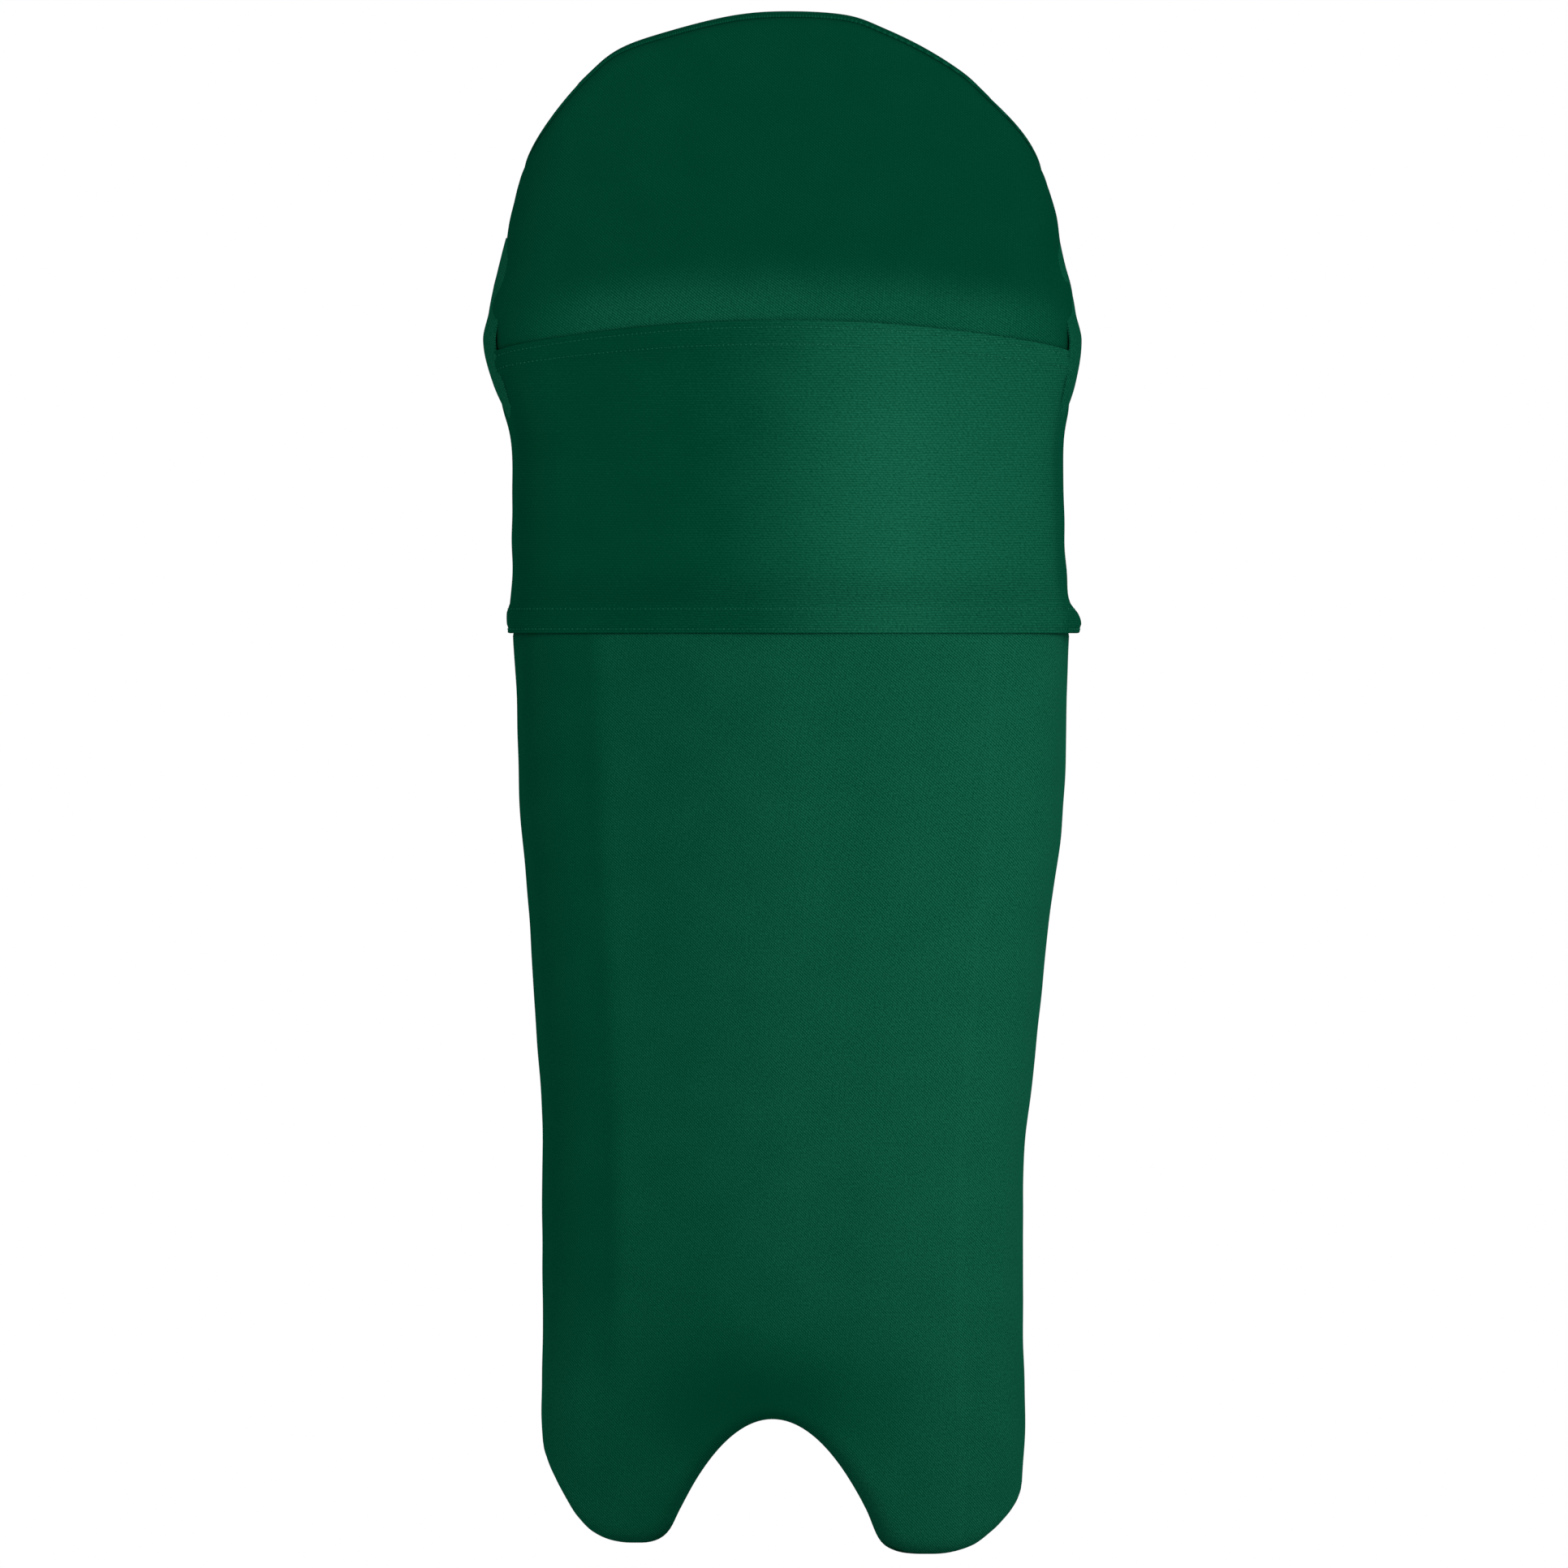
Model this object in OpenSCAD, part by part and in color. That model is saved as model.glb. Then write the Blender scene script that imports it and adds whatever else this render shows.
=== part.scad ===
// Cricket batting pad in a stretch-knit cover, as it stands on the leg.
// +X is to the right as seen from the front, the front faces -Y, and +Z runs up the leg.
// The origin is on the leg's axis, level with the pad's lowest point.
// A place in the pad is given round its section: s is the distance round the cover from the
// middle of the face (negative to the left), d is the depth below the cover's outer surface.

/* [Overall] */
// Height from the lower lobes to the top of the hood
pad_h = 720; // [710:1:730]
// Distance from the front of the shin back to the leg's axis
face_y = 98; // [94:1:102]
// How far the knee stands forward of the shin
knee_bulge = 12; // [8:1:14]

/* [Section] */
// Distance round the face from its middle to where it folds back
face_s = 92; // [88:1:94]
// Angle that the face has turned through at the fold, in degrees
face_turn = 14; // [10:1:16]
// Distance round each fold
fold_s = 34; // [32:1:36]
// Angle of the wings to the face's middle, in degrees
wing_turn = 88; // [86:1:89]
// Distance round the section from the middle of the face to a wing's rear edge
wing_end = 196; // [188:1:200]
// The same distance for the sides of the knee
knee_end = 182; // [176:1:186]
// The same distance for the sides of the top hat
hat_end = 150; // [146:1:154]

/* [Seams and hinges] */
// Height of the seam between the shin and the knee band
knee_z = 430; // [426:1:434]
// Height of the seam between the knee band and the hood, at the middle
hood_z = 575; // [572:1:578]
// How much lower that seam is at the sides
hood_drop = 13; // [8:1:15]
// Clear wedge under the knee section, as rise over depth
knee_wedge = 0.24; // [0.23:0.01:0.3]
// Clear wedge under the top hat, as rise over depth
hat_wedge = 0.36; // [0.35:0.01:0.4]

/* [Instep] */
// Height of the instep arch
arch_z = 63; // [58:1:66]
// Offset of the arch's middle, negative to the left
arch_x = -5; // [-6:1:0]
// Half-width of the arch 1 mm below its top
arch_k = 7.4; // [7:0.1:7.8]

/* [Padding] */
// Thickness of the knitted cover
cover_t = 1.8; // [1.4:0.1:1.8]
// Number of canes in the shin
cane_count = 7; // [5:2:7]
// Radius of a shin cane
cane_r = 3.75; // [3:0.25:3.75]
// Number of knee rolls
roll_count = 3; // [3:1:3]
// Number of stiffeners in the top hat
stiffener_count = 5; // [3:2:5]

/* [Straps] */
// Width of the webbing
strap_w = 38; // [32:1:42]
// Thickness of the webbing
strap_t = 2.2; // [1.6:0.1:2.4]
// How far behind the leg's axis the straps reach
strap_back = 70; // [66:1:74]
// Height of the ankle strap's middle
ankle_strap_z = 125; // [120:1:135]
// Height of the calf strap's middle
calf_strap_z = 335; // [300:1:345]
// Height of the knee strap's middle
knee_strap_z = 505; // [495:1:510]

/* [Hidden] */
// Half-widths of the covered pad at a few heights, [height, half-width]
left_w = [[0, 112], [200, 112], [330, 121], [430, 126], [525, 126], [570, 132], [600, 130], [645, 121],
    [720, 118]];
right_w = [[0, 112], [200, 115], [330, 130], [430, 134], [525, 131], [570, 133], [600, 130], [645, 121],
    [720, 118]];
// Extra half-width at the ends of the knee roll: its size, height and spread
ear = 6;
ear_z = 562;
ear_spread = 18;
// Lower edge of the lobes, [distance round the section, height]
lobe_edge = [[-200, 82], [-125, 46], [-112, 32], [-99, 14], [-86, 7], [-70, 5], [70, 0], [86, 2],
    [102, 9], [120, 21], [140, 34], [200, 80]];
// Crown of the hood: an ellipse in the front view, then a fall along each side
crown_h = 90;
crown_w = 123;
crown_fall = 0.9;
// Heights between which the knee's bulge grows and dies away
bulge_z = [432, 462, 570, 612];
// Height above which the top hat tips forward, and its slope
lean_z = 600;
lean = -0.04;

// Depths of the layers below the cover's outer surface
gap = 0.3;
seam_gap = 1;
facing_d = [3.3, 4.2];
front_foam_d = [4.6, 13.3];
cane_d = 18;
back_foam_d = [22.8, 36];
lining_d = [36.3, 38];
bolster_d = 44.5;
side_foam_d = [4.6, 21];
side_lining_d = [21.3, 23];
flap_d = 25.2;
anchor_d = [25.6, 27.8];
roll_d = 15.7;
roll_r = [10.9, 21.5];
backing_d = [26.9, 36];
knee_side_d = [6.2, 22];
hat_front_d = [3.2, 9];
stiffener_d = 12.1;
stiffener_r = 2.3;
hat_back_d = [15.2, 20.4];
hat_lining_d = [21.2, 22.2];
hat_panel_d = [23.1, 24.6];

// The fold line between the face and each wing, and the clear strip each side of it
hinge_s = 105;
wing_s = 110;
foam_s = 100;
// Height of the two flexing lines
knee_hinge_z = knee_z + 3;
hat_hinge_z = 571;
cane_gap = 24;
stiffener_gap = 34;
roll_gap = 44.5;
flap_w = 20;

green = [0.03, 0.27, 0.19];
white = [0.93, 0.93, 0.9];
cream = [0.9, 0.88, 0.8];
grey = [0.3, 0.3, 0.31];
cane_colour = [0.78, 0.62, 0.38];

// ---- The section ----

function rad(a) = a * PI / 180;
function smooth(x, a, b) = let (t = min(max((x - a) / (b - a), 0), 1)) t * t * (3 - 2 * t);
function ramp(a, b, n) = [for (i = [0:n - 1]) a + (b - a) * i / (n - 1)];

face_r = face_s / rad(face_turn);
fold_r = fold_s / rad(wing_turn - face_turn);
fold_end = face_s + fold_s;
fold_x = face_r * sin(face_turn) + fold_r * (sin(wing_turn) - sin(face_turn));
fold_y = face_r * (1 - cos(face_turn)) + fold_r * (cos(face_turn) - cos(wing_turn));

// Angle turned, sideways distance and set-back at a distance round the section
function turned(s) =
    s < face_s ? s / face_s * face_turn
    : s < fold_end ? face_turn + (s - face_s) / fold_s * (wing_turn - face_turn)
    : wing_turn;
function section_x(s) = let (t = turned(s))
    s < face_s ? face_r * sin(t)
    : s < fold_end ? face_r * sin(face_turn) + fold_r * (sin(t) - sin(face_turn))
    : fold_x + (s - fold_end) * cos(wing_turn);
function section_y(s) = let (t = turned(s))
    s < face_s ? face_r * (1 - cos(t))
    : s < fold_end ? face_r * (1 - cos(face_turn)) + fold_r * (cos(face_turn) - cos(t))
    : fold_y + (s - fold_end) * sin(wing_turn);
section_w = section_x(wing_end);

function half_w(side, z) =
    lookup(z, side < 0 ? left_w : right_w) + ear * exp(-pow((z - ear_z) / ear_spread, 2));
function front_y(z) =
    -face_y - knee_bulge * smooth(z, bulge_z[0], bulge_z[1]) * (1 - smooth(z, bulge_z[2], bulge_z[3]))
    + lean * max(z - lean_z, 0);
function behind(s, d) = section_y(abs(s)) + d * cos(turned(abs(s)));
function at(s, z, d) = let (a = abs(s), t = turned(a), k = half_w(s, z) / section_w)
    [(s < 0 ? -1 : 1) * k * (section_x(a) - d * sin(t)), front_y(z) + behind(s, d), z];

// ---- Edges, as heights round the section ----

function bottom(s) = max(arch_z - pow((s - arch_x) / arch_k, 2), lookup(s, lobe_edge));
function hood_seam(s) = hood_z - hood_drop * min(1, pow(s / hat_end, 2) * 1.6);
function crown(s) = let (x = section_x(min(abs(s), fold_end)) * half_w(s, pad_h) / section_w)
    pad_h - crown_h + crown_h * sqrt(max(0, 1 - pow(x / crown_w, 2)))
    - crown_fall * max(0, abs(s) - face_s - fold_s / 2);

// ---- Closed shapes ----

// One edge of a sheet's column: distance round, depth, and the heights it runs between
function edge(s, d, z0, z1) = [s, d, z0, z1];
function flat_column(s, d, z0, z1) = [edge(s, d[0], z0, z1), edge(s, d[1], z0, z1)];

// A closed sheet from columns of [outer edge, inner edge], left to right
module sheet(columns, rows) {
    n = len(columns);
    m = rows;
    points = [for (side = [0, 1]) for (c = columns) for (j = [0:m - 1])
        at(c[side][0], c[side][2] + (c[side][3] - c[side][2]) * j / (m - 1), c[side][1])];
    function o(i, j) = i * m + j;
    function k(i, j) = n * m + i * m + j;
    e = n - 1;
    t = m - 1;
    polyhedron(points, concat(
        [for (i = [0:n - 2]) for (j = [0:m - 2]) each [
            [o(i, j), o(i, j + 1), o(i + 1, j + 1)], [o(i, j), o(i + 1, j + 1), o(i + 1, j)],
            [k(i, j), k(i + 1, j + 1), k(i, j + 1)], [k(i, j), k(i + 1, j), k(i + 1, j + 1)]]],
        [for (i = [0:n - 2]) each [
            [o(i, 0), o(i + 1, 0), k(i + 1, 0)], [o(i, 0), k(i + 1, 0), k(i, 0)],
            [o(i + 1, t), o(i, t), k(i, t)], [o(i + 1, t), k(i, t), k(i + 1, t)]]],
        [for (j = [0:m - 2]) each [
            [o(0, j + 1), o(0, j), k(0, j)], [o(0, j + 1), k(0, j), k(0, j + 1)],
            [o(e, j), o(e, j + 1), k(e, j + 1)], [o(e, j), k(e, j + 1), k(e, j)]]]));
}

// A closed tube through rings of points, each ring anticlockwise seen from the far end
module tube(rings) {
    n = len(rings);
    m = len(rings[0]);
    function p(i, j) = i * m + j % m;
    polyhedron([for (r = rings) each r], concat(
        [for (i = [0:n - 2]) for (j = [0:m - 1]) each [
            [p(i, j), p(i + 1, j), p(i + 1, j + 1)], [p(i, j), p(i + 1, j + 1), p(i, j + 1)]]],
        [for (j = [1:m - 2]) [p(0, 0), p(0, j), p(0, j + 1)]],
        [for (j = [1:m - 2]) [p(n - 1, 0), p(n - 1, j + 1), p(n - 1, j)]]));
}

// A rod between two points
module rod(a, b, r) {
    v = b - a;
    translate(a)
        rotate([0, acos(v[2] / norm(v)), atan2(v[1], v[0])])
            cylinder(h = norm(v), r = r, $fn = 24);
}

// A padded sausage lying round the section, with rounded ends
module roll(z, d, r, end_s) {
    sides = 10;
    tube([for (s = ramp(-end_s, end_s, 15))
        let (taper = sqrt(max(0.12, 1 - pow(abs(s) / end_s, 8))))
            [for (j = [0:sides - 1])
                at(s, z + taper * r[1] * sin(360 * j / sides), d + taper * r[0] * cos(360 * j / sides))]]);
}

// A padded bolster standing up the section, with rounded ends
module bolster(s, z0, z1, d, r) {
    sides = 10;
    tube([for (t = ramp(0, 1, 11))
        let (taper = sqrt(max(0.12, 1 - pow(abs(2 * t - 1), 8))))
            [for (j = [0:sides - 1])
                at(s + taper * r[0] * cos(360 * j / sides), z0 + (z1 - z0) * t,
                    d + taper * r[1] * sin(360 * j / sides))]]);
}

// The knitted cover's way round a rear edge, as [distance back from the edge, depth] pairs,
// on its outer surface and on its inner one
wrap_outer = [[6, 0], [2, 1.2], [0, 4], [0, 21], [2, 24.2], [6, flap_d], [flap_w, flap_d]];
wrap_inner = [[6, cover_t], [3, 2.8], [cover_t, 4.8], [cover_t, 20.4], [3, 22.6], [6, flap_d - 1.6],
    [flap_w, flap_d - 1.6]];
function wrap_columns(end_s, z0, z1) = [for (i = [0:len(wrap_outer) - 1])
    let (so = end_s - wrap_outer[i][0], si = end_s - wrap_inner[i][0])
        [edge(so, wrap_outer[i][1], z0, z1), edge(si, wrap_inner[i][1], z0, z1)]];
function mirrored(columns) = [for (i = [len(columns) - 1:-1:0]) [for (e = columns[i]) [-e[0], e[1], e[2], e[3]]]];

// ---- Shin ----

module shin_layer(d, end_s, inset, top) {
    sheet([for (s = ramp(-end_s, end_s, 13)) flat_column(s, d, bottom(s) + inset, top)], 10);
}
module shin_cover() {
    color(green) sheet([for (s = ramp(-hinge_s, hinge_s, 15))
        flat_column(s, [0, cover_t], bottom(s), knee_z - gap)], 12);
}
module shin_facing() { color(white) shin_layer(facing_d, foam_s, 3, knee_z - 2); }
module shin_front_foam() { color(cream) shin_layer(front_foam_d, foam_s, 4, knee_z - 2); }
module shin_back_foam() { color(cream) shin_layer(back_foam_d, face_s, 6, knee_z - 2); }
module shin_lining() { color(white) shin_layer(lining_d, face_s, 4, knee_z - 2); }
module shin_bolster(side) { color(white) bolster(side * 56, 88, 400, bolster_d, [17, 5.8]); }
module shin_cane(i) {
    s = (i - (cane_count + 1) / 2) * cane_gap;
    color(cane_colour) rod(at(s, bottom(s) + 22, cane_d), at(s, knee_z - 12, cane_d), cane_r);
}

// ---- Wings ----

function wing_columns(d, rear, inset, n) =
    [for (s = ramp(wing_s, rear, n)) flat_column(s, d, bottom(s) + inset, knee_z - 6)];
function left_wing_columns(d, rear, inset, n) =
    [for (s = ramp(-rear, -wing_s, n)) flat_column(s, d, bottom(s) + inset, knee_z - 6)];
module wing_layer(side, d, rear, inset) {
    sheet(side > 0 ? wing_columns(d, rear, inset, 6) : left_wing_columns(d, rear, inset, 6), 10);
}
module cover_side(side) {
    plain = [for (s = ramp(hinge_s + gap, wing_end - 14, 6))
        flat_column(s, [0, cover_t], bottom(side * s), knee_z - gap)];
    columns = concat(plain, wrap_columns(wing_end, bottom(side * wing_end), knee_z - gap));
    color(green) sheet(side > 0 ? columns : mirrored(columns), 10);
}
module wing_facing(side) { color(white) wing_layer(side, facing_d, wing_end - 6, 3); }
module wing_foam(side) { color(cream) wing_layer(side, side_foam_d, wing_end - 3, 4); }
module wing_lining(side) { color(white) wing_layer(side, side_lining_d, wing_end - 6, 3); }

// ---- Knee ----

function knee_low(s, d) = knee_hinge_z + 1 + knee_wedge * behind(s, d);
module knee_layer(d, from_s, to_s, n) {
    sheet([for (s = ramp(from_s, to_s, n))
        [edge(s, d[0], knee_low(s, d[0]), hat_hinge_z - 2), edge(s, d[1], knee_low(s, d[1]), hat_hinge_z - 2)]],
        12);
}
module knee_band() {
    half = concat(
        [for (s = ramp(9, knee_end - 14, 12)) flat_column(s, [0, cover_t], knee_z, hood_seam(s) - seam_gap)],
        wrap_columns(knee_end, knee_z, hood_seam(knee_end) - seam_gap));
    color(green) sheet(concat(mirrored(half), half), 12);
}
module knee_roll(i) {
    color(white) roll(knee_hinge_z + 25 + (i - 1) * roll_gap, roll_d, roll_r, foam_s - 1);
}
module knee_backing() { color(cream) knee_layer(backing_d, -face_s, face_s, 13); }
module knee_lining() { color(white) knee_layer(lining_d, -face_s, face_s, 13); }
module knee_side(side) {
    color(white) knee_layer(knee_side_d,
        side > 0 ? wing_s : -(knee_end - 4), side > 0 ? knee_end - 4 : -wing_s, 6);
}
module knee_bolster(side) { color(white) bolster(side * 60, 462, 556, bolster_d, [15, 5.8]); }

// ---- Top hat ----

function hat_low(s, d) = hat_hinge_z + 3 + hat_wedge * behind(s, d);
module hat_layer(d, inset, end_s) {
    sheet([for (s = ramp(-end_s, end_s, 17))
        [edge(s, d[0], hat_low(s, d[0]), crown(s) - inset), edge(s, d[1], hat_low(s, d[1]), crown(s) - inset)]],
        9);
}
module hood_front() {
    color(green) sheet([for (s = ramp(-hat_end, hat_end, 21))
        flat_column(s, [0, cover_t], hood_seam(s), crown(s))], 11);
}
module hood_back() { color(green) hat_layer(hat_panel_d, 3, hat_end - 4); }
module top_hat_front_foam() { color(cream) hat_layer(hat_front_d, 4, hat_end - 4); }
module top_hat_back_foam() { color(cream) hat_layer(hat_back_d, 5, hat_end - 6); }
module top_hat_lining() { color(white) hat_layer(hat_lining_d, 4, hat_end - 6); }
module top_hat_stiffener(i) {
    s = (i - (stiffener_count + 1) / 2) * stiffener_gap;
    color(cane_colour) rod(at(s, 616, stiffener_d), at(s, crown(s) - 14, stiffener_d), stiffener_r);
}

// ---- Straps ----

// Half an ellipse behind the leg, from the left root round to the right one
strap_z = [ankle_strap_z, calf_strap_z, knee_strap_z];
strap_end = [wing_end, wing_end, knee_end];
strap_open = 148;
strap_start = 5;
root_back = 7;
anchor_w = strap_w + 8;
function root(i, side) = at(side * strap_end[i], strap_z[i], (anchor_d[0] + anchor_d[1]) / 2) + [0, root_back, 0];
function strap_mid(i) = (root(i, 1)[0] + root(i, -1)[0]) / 2;
function strap_a(i) = (root(i, 1)[0] - root(i, -1)[0]) / 2;
function strap_b(i) = strap_back - root(i, 1)[1];
function on_strap(i, t, out) =
    [strap_mid(i) - (strap_a(i) + out) * cos(t), root(i, 1)[1] + (strap_b(i) + out) * sin(t)];

// A flat band along the strap between two angles, out from the strap's middle line
module strap_band(i, t0, t1, out0, out1, width, n) {
    translate([0, 0, strap_z[i] - width / 2])
        linear_extrude(width)
            polygon(concat([for (t = ramp(t0, t1, n)) on_strap(i, t, out1)],
                [for (t = ramp(t1, t0, n)) on_strap(i, t, out0)]));
}
module strap_webbing(i) {
    color(grey) strap_band(i, strap_start, strap_open, -strap_t / 2, strap_t / 2, strap_w, 26);
}
module strap_pad(i) {
    color(white) strap_band(i, 42, 118, -strap_t / 2 - 7.2, -strap_t / 2 - 0.1, strap_w + 10, 14);
}
module strap_hook(i) {
    color(grey) strap_band(i, 124, strap_open - 1, -strap_t / 2 - 1.6, -strap_t / 2 - 0.1, strap_w - 4, 6);
}
module strap_tab(i) {
    color(grey) strap_band(i, strap_open + 5, 178, -strap_t / 2, strap_t / 2, strap_w, 7);
}
// The sewn patch on the wing's inner face that holds the strap's root
module strap_anchor(i) {
    color(grey) sheet([for (s = ramp(-strap_end[i] - 3, -strap_end[i] + 34, 3))
        flat_column(s, anchor_d, strap_z[i] - anchor_w / 2, strap_z[i] + anchor_w / 2)], 3);
}
module strap_part(i, part) {
    if (part == "anchor") strap_anchor(i);
    if (part == "webbing") strap_webbing(i);
    if (part == "pad") strap_pad(i);
    if (part == "hook") strap_hook(i);
    if (part == "tab") strap_tab(i);
}

// ---- Nodes ----

shin_cover();
shin_facing();
shin_front_foam();
shin_back_foam();
shin_lining();
shin_bolster(-1);  // shin_bolster_left
shin_bolster(1);  // shin_bolster_right
for (i = [1:cane_count]) shin_cane(i);
cover_side(-1);  // cover_side_left
cover_side(1);  // cover_side_right
wing_facing(-1);  // wing_facing_left
wing_facing(1);  // wing_facing_right
wing_foam(-1);  // wing_foam_left
wing_foam(1);  // wing_foam_right
wing_lining(-1);  // wing_lining_left
wing_lining(1);  // wing_lining_right
knee_band();
knee_backing();
knee_lining();
knee_side(-1);  // knee_side_left
knee_side(1);  // knee_side_right
knee_bolster(-1);  // knee_bolster_left
knee_bolster(1);  // knee_bolster_right
for (i = [1:roll_count]) knee_roll(i);
hood_front();
hood_back();
top_hat_front_foam();
top_hat_back_foam();
top_hat_lining();
for (i = [1:stiffener_count])
    top_hat_stiffener(i);
for (i = [0:2]) for (part = ["anchor", "webbing", "pad", "hook", "tab"])
    strap_part(i, part);
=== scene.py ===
"""Looks of a cricket batting pad in a dark green stretch-knit cover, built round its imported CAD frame."""
import math

import bpy
import numpy as np
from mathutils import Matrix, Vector


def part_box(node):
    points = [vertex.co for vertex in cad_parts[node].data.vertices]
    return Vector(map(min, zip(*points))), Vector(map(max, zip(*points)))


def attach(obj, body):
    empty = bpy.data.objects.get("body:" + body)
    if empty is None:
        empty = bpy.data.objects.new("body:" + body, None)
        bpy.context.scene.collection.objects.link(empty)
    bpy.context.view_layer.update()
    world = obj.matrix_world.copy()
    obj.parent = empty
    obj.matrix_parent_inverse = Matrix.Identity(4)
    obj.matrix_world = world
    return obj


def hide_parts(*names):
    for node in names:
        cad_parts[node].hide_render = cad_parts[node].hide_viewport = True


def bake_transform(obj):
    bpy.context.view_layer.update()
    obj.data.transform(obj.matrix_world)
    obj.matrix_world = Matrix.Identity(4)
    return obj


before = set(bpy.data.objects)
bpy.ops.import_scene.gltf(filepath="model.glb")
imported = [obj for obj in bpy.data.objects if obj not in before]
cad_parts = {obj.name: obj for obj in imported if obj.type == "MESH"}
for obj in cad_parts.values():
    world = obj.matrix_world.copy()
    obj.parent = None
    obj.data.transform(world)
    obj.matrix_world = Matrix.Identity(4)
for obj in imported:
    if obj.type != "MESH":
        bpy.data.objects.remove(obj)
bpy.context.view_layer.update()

MM = 0.001
CENTRE = (0.0008, 0.3593)          # middle of the view, across and up
VIEW_WIDTH = 0.7314                # what the camera sees across
SIDES = ((-1, "left"), (1, "right"))

# ---- The pad's section: s is the way round the cover from the face's middle, d the depth below it ----

FACE_S, FACE_TURN = 92 * MM, math.radians(14)      # the face bends gently this far, then the fold starts
FOLD_S, WING_TURN = 34 * MM, math.radians(88)
FOLD_END = FACE_S + FOLD_S
FACE_R = FACE_S / FACE_TURN
FOLD_R = FOLD_S / (WING_TURN - FACE_TURN)
WING_END, KNEE_END, HAT_END = 196 * MM, 182 * MM, 150 * MM
HINGE_S = 105 * MM                 # where a wing hinges on the shin
FACE_Y = 98 * MM
KNEE_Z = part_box("knee_band")[0].z
HOOD_Z = 575 * MM
HOOD_DROP = 15.5 * MM
KNEE_HINGE_Z, HAT_HINGE_Z = KNEE_Z + 3 * MM, 571 * MM
KNEE_BULGE, BULGE_Z = 12 * MM, (432 * MM, 462 * MM, 570 * MM, 612 * MM)
LEAN, LEAN_Z = -0.04, 600 * MM
SHIN_DEPTH, WING_DEPTH, HAT_DEPTH = 41.4 * MM, 25.2 * MM, 24.8 * MM

# Half-widths of the covered pad up its left and right sides, (height, half-width) in mm
LEFT_EDGE = [(0, 112), (60, 114.5), (100, 112), (200, 112), (250, 115), (293, 118), (322, 120.5), (347, 123),
             (405, 124), (430, 126.5), (521, 126), (540, 133), (562, 140), (580, 139), (600, 134.5),
             (623, 129.5), (645, 124.5), (665, 123.5), (680, 121.5), (695, 118.3), (720, 117)]
RIGHT_EDGE = [(0, 113), (60, 115), (100, 113), (150, 112.5), (190, 113), (215, 116.5), (250, 120),
              (293, 124), (330, 130), (362, 132), (405, 133), (435, 134.5), (470, 132), (521, 131),
              (540, 135.5), (562, 140), (583, 138.5), (605, 133), (623, 130.5),
              (645, 125), (665, 124), (680, 122),
              (695, 118.3), (720, 117)]


def ease(x, a, b):
    t = np.clip((x - a) / (b - a), 0, 1)
    return t * t * (3 - 2 * t)


def smoothed(knots, spread=7.0, step=1.0):
    """Dense heights and half-widths in metres through the knots, with the corners rounded off."""
    z = np.arange(-40, 761, step)
    w = np.interp(z, *zip(*knots))
    k = np.exp(-0.5 * (np.arange(-24, 25, step) / spread) ** 2)
    padded = np.pad(w, 24, mode="edge")
    return z * MM, np.convolve(padded, k / k.sum(), "valid") * MM


SIDE_W = {-1: smoothed(LEFT_EDGE), 1: smoothed(RIGHT_EDGE)}


def turned(a):
    return np.where(a < FACE_S, a / FACE_S * FACE_TURN,
                    FACE_TURN + np.clip((a - FACE_S) / FOLD_S, 0, 1) * (WING_TURN - FACE_TURN))


def section(a):
    """Sideways distance and set-back at a distance a round the section."""
    t = turned(a)
    face_x, face_y = FACE_R * math.sin(FACE_TURN), FACE_R * (1 - math.cos(FACE_TURN))
    over = np.maximum(a - FOLD_END, 0)
    x = np.where(a < FACE_S, FACE_R * np.sin(t), face_x + FOLD_R * (np.sin(t) - math.sin(FACE_TURN)))
    y = np.where(a < FACE_S, FACE_R * (1 - np.cos(t)), face_y + FOLD_R * (math.cos(FACE_TURN) - np.cos(t)))
    return x + over * math.cos(WING_TURN), y + over * math.sin(WING_TURN), t


SECTION_W = float(section(np.array(WING_END))[0])


def front_y(z):
    bulge = ease(z, *BULGE_Z[:2]) * (1 - ease(z, *BULGE_Z[2:]))
    return -FACE_Y - KNEE_BULGE * bulge + LEAN * np.maximum(z - LEAN_Z, 0)


def at(s, z, d=0.0):
    """Points of the pad, at s round the section, height z and depth d. Arrays broadcast."""
    s, z, d = np.broadcast_arrays(np.asarray(s, float), np.asarray(z, float), np.asarray(d, float))
    x, y, t = section(np.abs(s))
    w = np.where(s < 0, np.interp(z, *SIDE_W[-1]), np.interp(z, *SIDE_W[1]))
    x = np.sign(s) * (x - d * np.sin(t)) * w / SECTION_W
    return np.stack([x, front_y(z) + y + d * np.cos(t), z], -1)


def hood_seam(s):
    return HOOD_Z - HOOD_DROP * np.minimum(1, (s / HAT_END) ** 2 * 1.6)


def pad_depth(s):
    """How deep the inner side of the covered pad lies, thick at the face and thin at the wings."""
    return np.interp(np.abs(s), [FACE_S + 0.5 * MM, FACE_S + 3.5 * MM], [SHIN_DEPTH, WING_DEPTH])


# ---- Small surface shapes ----

def waves(s, z, size, seed, count=7):
    """Soft unevenness of about size metres, between -1 and 1."""
    r = np.random.default_rng(seed)
    total = 0
    for _ in range(count):
        a, p = r.uniform(0, math.pi), r.uniform(0, 2 * math.pi)
        f = 2 * math.pi / (size * r.uniform(0.7, 1.6))
        total = total + np.sin(f * (s * math.cos(a) + z * math.sin(a)) + p)
    return total / count * 1.6


def ridge(s, middle, width):
    return np.exp(-((s - middle) / width) ** 2)


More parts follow.
